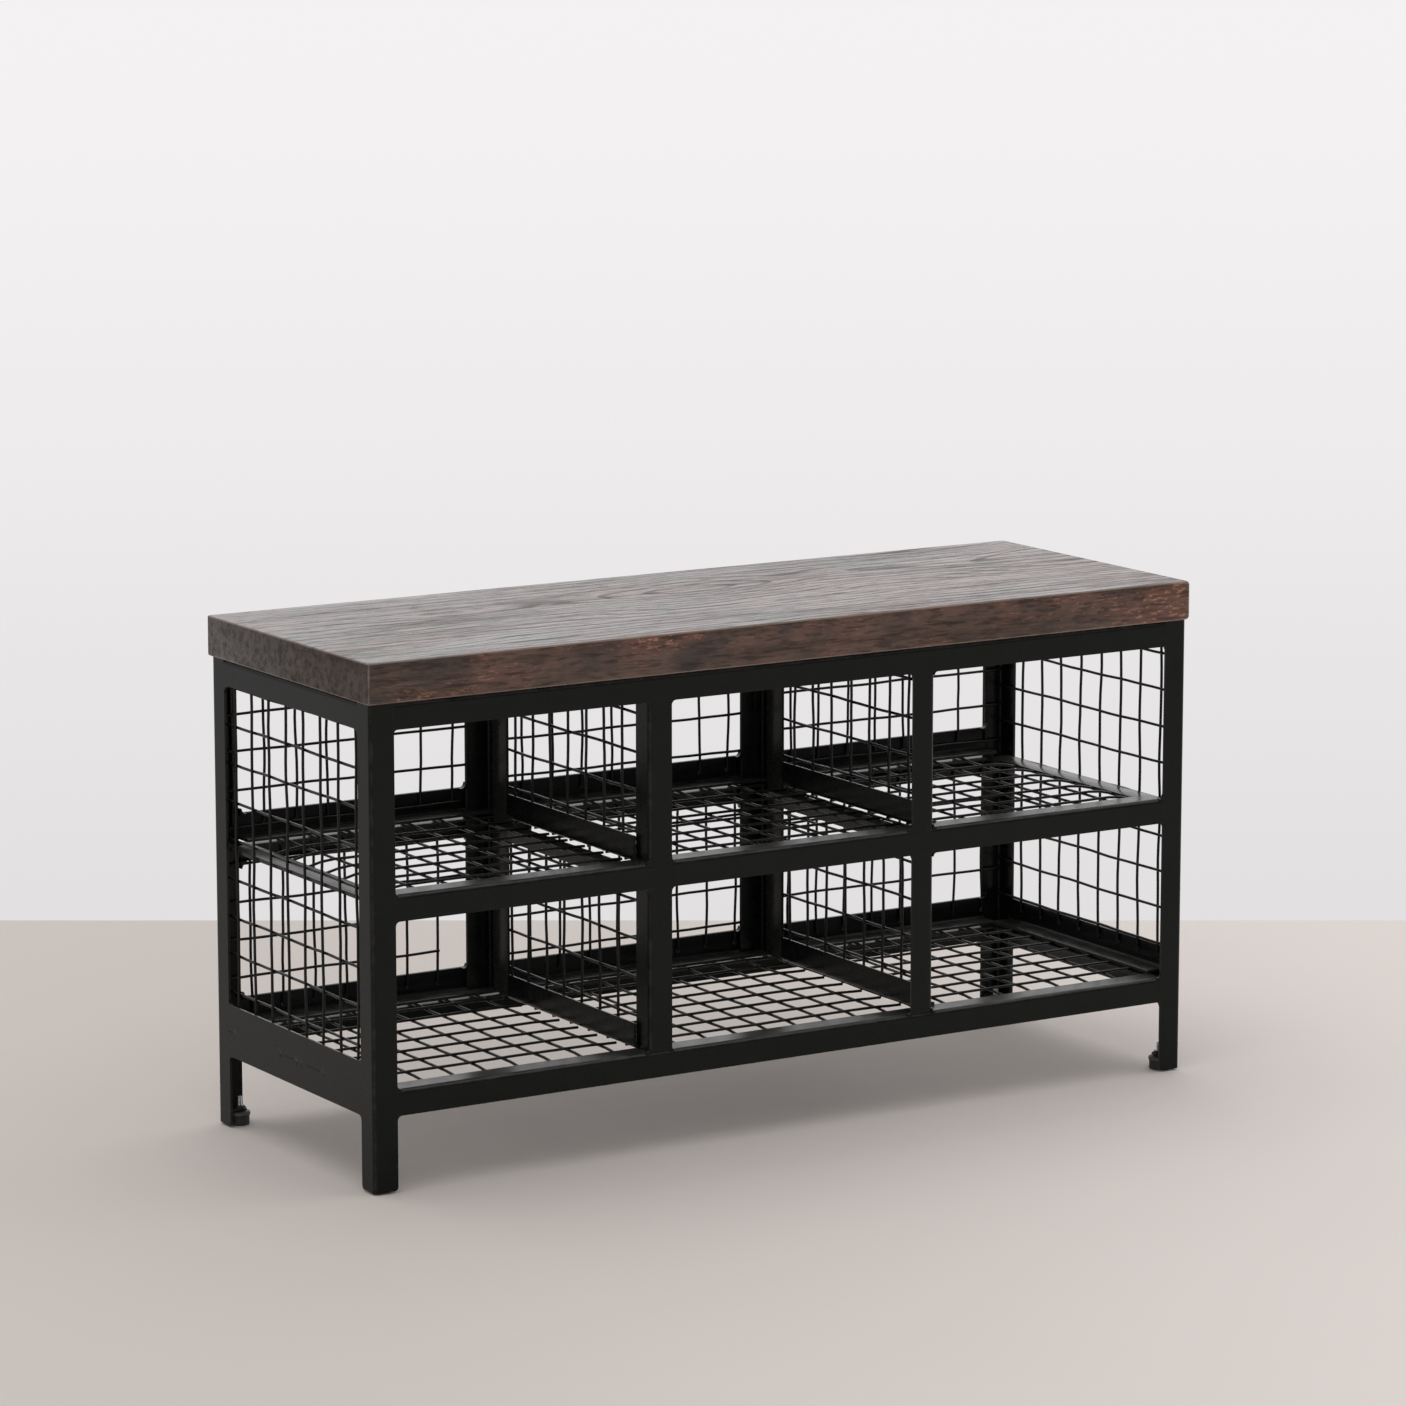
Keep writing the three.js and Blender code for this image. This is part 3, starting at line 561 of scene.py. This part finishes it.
def wires(along, across, depth, places, starts, ends, level, seed, bend=None, sway=0.4):
    """Rings of round wires side by side. A wire runs along one axis between its start and end, at its
    place on the second axis and at one level on the third. Its line wanders by two slow sine waves
    with random phases, less in depth than across, and bend adds a change of level along the run."""
    rng = np.random.default_rng(seed)
    places = np.asarray(places, float)
    count = len(places)
    starts = np.broadcast_to(np.asarray(starts, float), count)
    ends = np.broadcast_to(np.asarray(ends, float), count)
    steps = max(10, int(np.max(ends - starts) / 13.0))
    run = starts[:, None] + (ends - starts)[:, None] * np.linspace(0.0, 1.0, steps)
    long_wave = rng.uniform(110.0, 210.0, (2, count, 1))
    short_wave = rng.uniform(45.0, 85.0, (2, count, 1))
    phase = rng.uniform(0.0, 2 * math.pi, (4, count, 1))
    wander = [np.sin(2 * math.pi * run / long_wave[k] + phase[k])
              + 0.45 * np.sin(2 * math.pi * run / short_wave[k] + phase[k + 2]) for k in (0, 1)]
    line = np.zeros((count, steps, 3))
    line[..., along] = run
    line[..., across] = places[:, None] + sway * wander[0] + rng.normal(0.0, 0.3, (count, 1))
    line[..., depth] = level + 0.22 * sway * wander[1] + (0.0 if bend is None else bend(run))
    angle = 2 * math.pi * (np.arange(AROUND) + 0.5) / AROUND
    rings = np.repeat(line[:, :, None], AROUND, axis=2)
    rings[..., across] += WIRE * np.cos(angle)
    rings[..., depth] += WIRE * np.sin(angle)
    return rings, np.zeros(rings.shape[:3])


def weld_dots(centres, radii, seed):
    """Rings of small weld drops: squashed balls from five rings of eight points, each point pushed in
    or out by up to a sixth of the radius so that no two drops are alike."""
    rng = np.random.default_rng(seed)
    centres = np.asarray(centres, float).reshape(-1, 3)
    radii = np.broadcast_to(np.asarray(radii, float), centres.shape)
    tilt = np.radians([14.0, 50.0, 90.0, 130.0, 166.0])[:, None]
    turn = (2 * math.pi * (np.arange(8) + 0.5) / 8)[None]
    ball = np.stack([np.sin(tilt) * np.cos(turn), np.sin(tilt) * np.sin(turn),
                     np.cos(tilt) + 0.0 * turn], -1)
    lump = 1.0 + rng.uniform(-0.17, 0.17, (len(centres), 5, 8, 1))
    size = radii * rng.uniform(0.85, 1.15, (len(centres), 1))
    rings = centres[:, None, None] + ball[None] * lump * size[:, None, None]
    return rings, np.full(rings.shape[:3], DROP_WEAR_AND_GLINT)


def ends_of(stack):
    """Centres of the first and the last ring of every wire in a stack."""
    rings = stack[0]
    return np.concatenate([rings[:, 0].mean(1), rings[:, -1].mean(1)])


# This paint's rubbed amount acts mainly on the weld drops, whose lighter patches are partly wear and
# partly a painted glint.
wire_paint = black_paint("wire_paint", (0.0045, 0.0050, 0.0046), 0.30, 700.0, 0.00001, 0.7, 0.25, 0.25)


def hang_mesh(node, stacks):
    """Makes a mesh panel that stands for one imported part."""
    made = skin(node.replace("_mesh", "_wires"), *stacks)
    made.data.materials.append(wire_paint)
    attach(made, "bench")
    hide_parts(node)


PITCH_UP = 37.45
PITCH_ALONG = 34.45
END_LEVELS = {"left": 134.4 + PITCH_UP * np.arange(9), "right": 126.2 + 37.16 * np.arange(9)}
END_PLACES = {"left": 85.8 - 34.8 * np.arange(-1, 7), "right": 115.8 - 34.4 * np.arange(8)}
for end_name, side_x in ENDS:
    low, high = corners(f"{end_name}_end_mesh")
    outer = side_x * (corners("right_end_mesh")[1][0] - 1.15)
    inner = outer - side_x * LAYER
    upright = wires(2, 1, 0, END_PLACES[end_name], low[2], high[2], outer, 11 + side_x, sway=0.8)
    level = wires(1, 2, 0, END_LEVELS[end_name], low[1] + 1.0, high[1] - 1.0, inner, 21 + side_x)
    drops = weld_dots(ends_of(upright) + [side_x * 0.9, 0.0, 0.0], (1.6, 2.4, 2.9), 31 + side_x)
    hang_mesh(f"{end_name}_end_mesh", [upright, level, drops])

# The back is closed by six panels, one for each bay and level, whose upright wires lie against the
# back rails. A place is the first wire's, and the steps count the wires to both sides of it.
BAYS = {"left": (-455.5, -166.5), "middle": (-163.0, 152.5), "right": (156.5, 455.5)}
BACK_UPRIGHT = {
    ("upper", "left"): (-236.5, range(-6, 2)),
    ("upper", "middle"): (-121.9, range(-1, 8)),
    ("upper", "right"): (401.8, range(-6, 2)),
    ("lower", "left"): (-253.4, range(-5, 3)),
    ("lower", "middle"): (127.7, range(-8, 1)),
    ("lower", "right"): (398.8, range(-6, 2)),
}
BACK_LEVEL = {
    ("upper", "left"): 291.3, ("upper", "middle"): 311.1, ("upper", "right"): 290.8,
    ("lower", "left"): 143.3, ("lower", "middle"): 132.1, ("lower", "right"): 153.9,
}
SHORT_WIRE = {"upper": -195.0, "lower": -219.0}  # where the left panels' lowest wires stop
for row, seed in (("lower", 41), ("upper", 51)):
    low, high = corners(f"back_{row}_mesh")
    face = high[1] - WIRE
    stacks, drops = [], []
    for k, (bay, (start, end)) in enumerate(BAYS.items()):
        first, steps = BACK_UPRIGHT[row, bay]
        places = first + PITCH_ALONG * np.array(steps)
        places = places[(places > start + 4.0) & (places < end - 4.0)]
        upright = wires(2, 0, 1, places, low[2], high[2], face, seed + k, sway=0.65)
        rows = BACK_LEVEL[row, bay] + PITCH_UP * np.arange(5)
        rows = rows[rows < high[2] - 3.0]
        stop = np.full(len(rows), end)
        if bay == "left":
            stop[0] = SHORT_WIRE[row]
        level = wires(0, 2, 1, rows, start, stop, face - LAYER, seed + 5 + k)
        stacks += [upright, level]
        drops.append(weld_dots(ends_of(upright) + [0.0, 0.8, 0.0], (2.4, 1.6, 2.9), seed + 9 + k))
    hang_mesh(f"back_{row}_mesh", stacks + drops)

# Shelves: the front-to-back wires lie underneath, pass below the front rail's flange and enter the
# slit of the back rails. The lengthwise wires lie on them, held at the dividers and at the ends. On
# the mid shelf they bend down to the inner edge of the flat bar at each end and are welded to it.
DEEP_PLACES = {"bottom": -357.2 + 34.66 * np.arange(-2, 24), "mid": -120.1 + 34.4 * np.arange(-9, 17)}
DEEP_LIMIT = {"bottom": 452.0, "mid": 427.0}
SLIT_LEVEL = {"bottom": 96.5, "mid": 278.15}
FRONT_LEVEL = {"bottom": 93.45, "mid": 276.95}
BAR_EDGE = corners("right_mid_bar")[0][0] - 0.2
ROWS = {
    ("bottom", "left"): (-137.5, 36.3), ("bottom", "middle"): (-112.1, 34.6),
    ("bottom", "right"): (-106.0, 34.6), ("mid", "left"): (-111.7, 34.3),
    ("mid", "middle"): (-111.7, 34.3), ("mid", "right"): (-116.0, 34.4),
}
ROW_LIMIT = {"bottom": 131.0, "mid": 122.0}


def eased(share):
    """The share, kept between nothing and one, with a soft start and a soft stop."""
    share = np.clip(share, 0.0, 1.0)
    return share * share * (3 - 2 * share)


def deep_bend(run, shelf, field):
    """Level above the field of a front-to-back wire: under the front flange, then none, then up in
    the back slit."""
    front = 1 - eased((run + 134.0) / 26.0)
    back = eased((run - 118.0) / 16.0)
    return (FRONT_LEVEL[shelf] - field) * front + (SLIT_LEVEL[shelf] - field) * back


def row_bend(run, shelf, field, span):
    """Level above the field of a lengthwise wire: on the lower wires, down into the slits at both
    ends of its span, and on the mid shelf down to the bar."""
    rise = eased((np.minimum(run - span[0], span[1] - run) - 4.0) / 24.0)
    droop = 4.6 * (1 - eased((BAR_EDGE - np.abs(run)) / 22.0)) if shelf == "mid" else 0.0
    slit = SLIT_LEVEL[shelf] - field
    return slit + (LAYER - slit) * rise - droop


for shelf, seed in (("bottom", 61), ("mid", 71)):
    low, high = corners(f"{shelf}_shelf_mesh")
    field = SLIT_LEVEL[shelf] - 1.3
    places = DEEP_PLACES[shelf][np.abs(DEEP_PLACES[shelf]) < DEEP_LIMIT[shelf]]
    deep_seed = 81 if shelf == "mid" else 82
    stacks = [wires(1, 0, 2, places, -152.0, high[1] - 0.5, field, deep_seed,
                    lambda run: deep_bend(run, shelf, field))]
    drops = []
    for k, (bay, span) in enumerate(BAYS.items()):
        start, end = span
        if shelf == "mid":
            start, end = max(start, -BAR_EDGE), min(end, BAR_EDGE)
        first, pitch = ROWS[shelf, bay]
        rows = first + pitch * np.arange(8)
        rows = rows[np.abs(rows) < ROW_LIMIT[shelf]]
        stacks.append(wires(0, 1, 2, rows, start, end, field, seed + k,
                            lambda run: row_bend(run, shelf, field, span)))
        tips = ends_of(stacks[-1])
        tips = tips[np.abs(tips[:, 0]) > BAR_EDGE - 9.0] - [0.0, 0.0, 0.3]
        if len(tips):
            drops.append(weld_dots(tips, (1.8, 2.0, 1.5), seed + k + 7))
    hang_mesh(f"{shelf}_shelf_mesh", stacks + drops)

# Dividers: a lower and an upper panel in each, standing on the divider's rail and welded to it.
DIVIDER_PLACES = {"left": 95.2 - 34.1 * np.arange(-1, 7), "right": 88.0 - 34.3 * np.arange(-1, 7)}
for end_name, seed in (("left", 91), ("right", 101)):
    for row, first in (("lower", 128.5), ("upper", 309.5)):
        low, high = corners(f"{end_name}_divider_{row}_mesh")
        plane = low[0] + WIRE
        places = DIVIDER_PLACES[end_name] + (0.0 if row == "upper" else 9.0)
        places = places[(places < 146.0) & (places > -131.0)]
        upright = wires(2, 1, 0, places, low[2] - 0.4, high[2], plane, seed, sway=0.8)
        rows = first + PITCH_UP * np.arange(6)
        rows = rows[rows < high[2] - 4.0]
        level = wires(1, 2, 0, rows, low[1] - 3.0, high[1], plane + LAYER, seed + 1)
        drops = weld_dots(ends_of(upright) - [0.8, 0.0, 0.0], (1.6, 2.4, 2.9), seed + 2)
        hang_mesh(f"{end_name}_divider_{row}_mesh", [upright, level, drops])
        seed += 5

# ---------------------------------------------------------------------------------- feet
# Each leg holds a welded plate and nut with rough weld beads. A zinc-plated stud with a rolled
# thread screws down through the nut, and a black moulded pad with a flared rim turns under it.
STUD_RADIUS = 3.0
THREAD_PITCH = 1.0
THREAD_DEPTH = 0.45
PLATE_EASE = 0.4  # softened edge of a plate
PLACES = [(d, e) for d in ("front", "back") for e in ("left", "right")]


def turned(profile, centre, around):
    """A solid of revolution about an upright axis: the (radius, height) profile carried round."""
    profile = np.asarray(profile, float)
    turn = 2 * math.pi * (np.arange(around) + 0.5) / around
    ring = np.stack([np.cos(turn), np.sin(turn), 0.0 * turn], -1)
    rings = profile[:, None, :1] * ring[None]
    rings[..., 2] = profile[:, 1:2]
    return rings[None] + np.array([centre[0], centre[1], 0.0])


def threaded_rod(low, high, centre):
    """An upright rod with a helical thread: at height z and turn t the radius falls from the crest by
    the thread's depth times a triangle wave of z / pitch - t / full turn, and fades to the core at
    both ends."""
    height = np.arange(low, high + 0.01, THREAD_PITCH / 6.0)
    turn = 2 * math.pi * (np.arange(28) + 0.5) / 28
    phase = (height[:, None] / THREAD_PITCH - turn / (2 * math.pi)) % 1.0
    cut = THREAD_DEPTH * np.clip(1.6 * np.abs(2 * phase - 1.0) - 0.3, 0.0, 1.0)
    fade = np.clip(np.minimum(height - low, high - height) / 0.9, 0.0, 1.0)[:, None]
    radius = STUD_RADIUS - 0.05 - cut * fade - 0.7 * (1 - fade)
    rings = np.stack([centre[0] + radius * np.cos(turn), centre[1] + radius * np.sin(turn),
                      height[:, None] + 0.0 * turn], -1)
    return rings[None], np.zeros(rings[None].shape[:3])


def hexagon(radius, low, high, centre):
    """A six-sided nut body: a circle pulled in to the flats, chamfered to a circle at both faces."""
    turn = 2 * math.pi * (np.arange(48) + 0.5) / 48
    flat = math.cos(math.pi / 6) / np.cos((turn + math.pi / 6) % (math.pi / 3) - math.pi / 6)
    heights = np.array([low, low + 0.02, low + 0.6, high - 0.6, high - 0.02, high])
    limit = radius * np.array([0.85, 0.9, 1.0, 1.0, 0.9, 0.85])
    reach = np.minimum(radius * flat[None], limit[:, None])
    rings = np.stack([centre[0] + reach * np.cos(turn), centre[1] + reach * np.sin(turn),
                      heights[:, None] + 0.0 * turn], -1)
    worn = np.array([1.0, 1.0, 0.0, 0.0, 1.0, 1.0])[None, :, None]
    return rings[None], np.broadcast_to(worn, rings[None].shape[:3])


def flat_plate(low, high):
    """A rectangular plate: rounded rectangles stacked in height, drawn in a little at both faces."""
    slight = PLATE_EASE * 0.3
    heights = np.array([low[2], low[2] + slight, low[2] + PLATE_EASE,
                        high[2] - PLATE_EASE, high[2] - slight, high[2]])
    inset = np.array([PLATE_EASE, slight, 0.0, 0.0, slight, PLATE_EASE])
    corner = np.array([[0.0, 0.6], [0.2, 0.2], [0.6, 0.0]])
    x = np.concatenate([low[0] + corner[:, 0], high[0] - corner[::-1, 0]])
    y = np.concatenate([low[1] + corner[:, 1], low[1] + corner[::-1, 1]])
    mid_y = (low[1] + high[1]) / 2
    x = np.concatenate([x, x[::-1]])
    y = np.concatenate([y, (2 * mid_y - y)[::-1]])
    mid_x = (low[0] + high[0]) / 2
    rings = np.zeros((6, len(x), 3))
    rings[..., 0] = x - np.sign(x - mid_x) * inset[:, None]
    rings[..., 1] = y - np.sign(y - mid_y) * inset[:, None]
    rings[..., 2] = heights[:, None]
    return rings[None], np.broadcast_to((inset > 0)[None, :, None] * 1.0, rings[None].shape[:3])


weld_paint = black_paint("weld_paint", (0.009, 0.009, 0.0085), 0.36, 500.0, 0.00005, 0.35, 0.2, 0.3)

zinc, tree, shader, spot = finish_for("bright_zinc")
shader.inputs["Metallic"].default_value = 1.0
crystal = cloud(tree, spot, (420.0, 420.0, 420.0), 3.0)
brushed = cloud(tree, spot, (900.0, 900.0, 90.0), 2.0, (5.0, 0.0, 1.0))
plating = blend(tree, spread(tree, crystal, 0.35, 0.65), tone(0.50, 0.51, 0.53), tone(0.74, 0.75, 0.77))
smudge = spread(tree, cloud(tree, spot, (120.0, 120.0, 120.0), 3.0, (9.0, 2.0, 4.0)), 0.5, 0.75, 0.0, 0.5)
plating = blend(tree, smudge, plating, tone(0.30, 0.28, 0.25))
dull = calc(tree, "MULTIPLY_ADD", crystal, 0.25, 0.2)
wire_up(tree, shader, plating, dull, brushed, 0.00004)

moulded, tree, shader, spot = finish_for("moulded_pad")
shader.inputs["Specular IOR Level"].default_value = 0.4
grain = cloud(tree, spot, (1500.0, 1500.0, 1500.0), 2.0)
scuff = cloud(tree, spot, (150.0, 150.0, 60.0), 4.0, (2.0, 7.0, 1.0), 0.6)
plastic = blend(tree, spread(tree, scuff, 0.4, 0.7), tone(0.012, 0.012, 0.012), tone(0.03, 0.029, 0.028))
wear = put(tree, "Attribute", attribute_name="wear").outputs["Fac"]
rubbed = place(tree, worn_edges, {"Place": spot, "Wear": wear, "Grain": 200.0, "Amount": 0.6})["Mask"]
plastic = blend(tree, rubbed, plastic, tone(0.10, 0.098, 0.095))
floor_dust = place(tree, dust_and_sheen, {"Place": spot, "Amount": 0.35})["Mask"]
plastic = blend(tree, floor_dust, plastic, tone(0.2, 0.19, 0.17))
wire_up(tree, shader, plastic, calc(tree, "MULTIPLY_ADD", scuff, 0.25, 0.42), grain, 0.00005)

for depth_name, end_name in PLACES:
    place_name = f"{depth_name}_{end_name}"
    side_x = -1 if end_name == "left" else 1
    side_y = -1 if depth_name == "front" else 1
    low, high = corners(f"{place_name}_foot_pad")
    centre = (low + high) / 2
    radius = (high[0] - low[0]) / 2
    top = high[2]
    profile = [(radius - 2.6, 0.0), (radius - 1.9, 0.0), (radius - 1.5, 0.15), (radius - 1.0, 0.9),
               (radius - 0.95, 1.4), (radius - 0.95, 5.0), (radius - 0.9, 8.4), (radius - 0.55, 9.6),
               (radius - 0.12, 10.6), (radius, 11.3), (radius - 0.05, 12.0), (radius - 0.35, 12.7),
               (radius - 1.0, 13.15), (radius - 2.0, 13.35), (STUD_RADIUS + 2.0, top - 0.05),
               (STUD_RADIUS + 0.6, top), (STUD_RADIUS - 0.4, top - 0.1), (STUD_RADIUS - 0.6, top - 0.6)]
    rings = turned(profile, centre, 40)
    rim = np.array([0, .3, 1, 1, 0, 0, 0, .2, .8, 1, 1, .6, 0, 0, 0, .4, .2, 0])
    pad = skin(f"{place_name}_pad", (rings, np.broadcast_to(rim[None, :, None], rings.shape[:3])))
    pad.data.materials.append(moulded)
    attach(pad, f"{place_name}_pad")
    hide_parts(f"{place_name}_foot_pad")

    low, high = corners(f"{place_name}_foot_stud")
    stud = skin(f"{place_name}_stud", threaded_rod(low[2], high[2], centre))
    stud.data.materials.append(zinc)
    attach(stud, f"{place_name}_stud")
    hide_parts(f"{place_name}_foot_stud")

    low, high = corners(f"{place_name}_foot_bracket")
    plate = flat_plate(low, [high[0], high[1], low[2] + 2.4])
    nut = hexagon(5.7, low[2] + 2.0, high[2], centre)
    reach = np.linspace(0.0, 1.0, 9)
    wall_x = low[0] if side_x < 0 else high[0]
    wall_y = low[1] if side_y < 0 else high[1]
    span_x = low[0] + (high[0] - low[0]) * reach
    span_y = low[1] + (high[1] - low[1]) * reach
    along_x = np.stack([span_x, 0 * reach + wall_y, 0 * reach + low[2] + 2.6], -1)
    along_y = np.stack([0 * reach + wall_x, span_y, 0 * reach + low[2] + 2.6], -1)
    round_nut = 2 * math.pi * (reach[:-1] + 0.3)
    foot_of_nut = np.stack([centre[0] + 5.4 * np.cos(round_nut), centre[1] + 5.4 * np.sin(round_nut),
                            0 * round_nut + low[2] + 2.5], -1)
    seed = 200 + 10 * PLACES.index((depth_name, end_name))
    beads = weld_dots(np.concatenate([along_x, along_y, foot_of_nut]), (1.7, 1.7, 1.2), seed)
    bracket = skin(f"{place_name}_foot_plate_and_nut", plate, nut, beads)
    bracket.data.materials.append(weld_paint)
    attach(bracket, "bench")
    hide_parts(f"{place_name}_foot_bracket")

# ---------------------------------------------------------------------------------- seat screws
# Zinc-plated pan-head wood screws, driven up through the top rails into the underside of the board.
for depth_name, end_name in PLACES:
    place_name = f"{depth_name}_{end_name}"
    low, high = corners(f"{place_name}_seat_screw")
    centre = (low + high) / 2
    head = (high[0] - low[0]) / 2
    bottom = low[2]
    profile = [(0.5, bottom + 1.0), (1.2, bottom + 1.0), (1.35, bottom + 0.1), (head * 0.62, bottom),
               (head * 0.8, bottom + 0.35), (head * 0.95, bottom + 1.0), (head, bottom + 1.8),
               (head, bottom + 2.55), (2.2, bottom + 2.6), (2.2, high[2] - 3.0), (0.2, high[2])]
    rings = turned(profile, centre, 28)
    screw = skin(f"{place_name}_screw", (rings, np.zeros(rings.shape[:3])))
    screw.data.materials.append(zinc)
    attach(screw, "bench")
    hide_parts(f"{place_name}_seat_screw")

# ---------------------------------------------------------------------------------- floor and light
# A pale floor that ends in front of a bright background, its colour painted with shade that darkens it
# towards the back left and with light towards the right. The light is soft and comes from all round:
# brightest from behind, a little to the right, and from above, and dim from the front but for a soft
# light from the front left.
VIEW = np.array([0.52551, 0.85079, 0.0])  # away from the viewer, along the floor
SIDE = np.array([0.85079, -0.52551, 0.0])  # to the viewer's right
FLOOR_BACK = 0.805
FLOOR_REACH = 9
outline = [FLOOR_BACK * VIEW - FLOOR_REACH * SIDE, FLOOR_BACK * VIEW + FLOOR_REACH * SIDE,
           -FLOOR_REACH * VIEW + FLOOR_REACH * SIDE, -FLOOR_REACH * VIEW - FLOOR_REACH * SIDE]
floor_mesh = bpy.data.meshes.new("floor")
floor_mesh.from_pydata([tuple(p) for p in outline], [], [(3, 2, 1, 0)])
floor = bpy.data.objects.new("floor", floor_mesh)
bpy.context.scene.collection.objects.link(floor)
floor_finish, tree, shader, spot = finish_for("pale_floor")
# Painted shade and light: the floor's colour darkens towards the back left and lightens to the right,
# with noise for patches of tone.
rightward = put(tree, "VectorMath", {0: spot, 1: tuple(SIDE)}, operation="DOT_PRODUCT").outputs["Value"]
shade_and_patches = calc(tree, "MULTIPLY_ADD", cloud(tree, spot, (1.2, 1.2, 1.2), 4.0), 0.3, rightward)
pale = blend(tree, spread(tree, shade_and_patches, -0.35, 0.95), tone(0.67, 0.612, 0.572), tone(0.83, 0.76, 0.72))
tree.links.new(pale, shader.inputs["Base Color"])
shader.inputs["Roughness"].default_value = 0.85
floor.data.materials.append(floor_finish)

world = bpy.data.worlds.new("room")
bpy.context.scene.world = world
world.use_nodes = True
tree = world.node_tree
background = tree.nodes["Background"]
toward = put(tree, "TexCoord").outputs["Generated"]
bright_side = tuple(0.94 * VIEW + 0.342 * SIDE)
ahead = put(tree, "VectorMath", {0: toward, 1: bright_side}, operation="DOT_PRODUCT").outputs["Value"]
upward = put(tree, "SeparateXYZ", {0: toward}).outputs["Z"]
soft_side = (-0.55, -0.8, 0.2)
soft = put(tree, "VectorMath", {0: toward, 1: soft_side}, operation="DOT_PRODUCT").outputs["Value"]
room = blend(tree, spread(tree, soft, 0.45, 1.0), tone(0.19, 0.19, 0.19), tone(0.80, 0.80, 0.80))
room = blend(tree, spread(tree, ahead, -0.3, 0.82), room, tone(0.90, 0.882, 0.888))
room = blend(tree, spread(tree, upward, -0.05, -0.26), room, tone(0.74, 0.725, 0.73))
room = blend(tree, spread(tree, upward, 0.15, 0.8, 0.0, 0.8), room, tone(0.92, 0.92, 0.92))
tree.links.new(room, background.inputs["Color"])

sun_data = bpy.data.lights.new("skylight", "SUN")
sun_data.energy = 0.35
sun_data.angle = math.radians(45.0)
sun = bpy.data.objects.new("skylight", sun_data)
sun.rotation_euler = (math.radians(-12.0), math.radians(-12.0), 0.0)
bpy.context.scene.collection.objects.link(sun)

camera_data = bpy.data.cameras.new("camera")
camera_data.lens = 140.16
camera_data.sensor_width = 36.0
camera = bpy.data.objects.new("camera", camera_data)
camera.location = (-2.7766, -4.4852, 1.3424)
camera.rotation_euler = (math.pi / 2 - 0.1776, 0.0, -0.5533)
bpy.context.scene.collection.objects.link(camera)
bpy.context.scene.camera = camera
bpy.context.scene.view_settings.view_transform = "Standard"
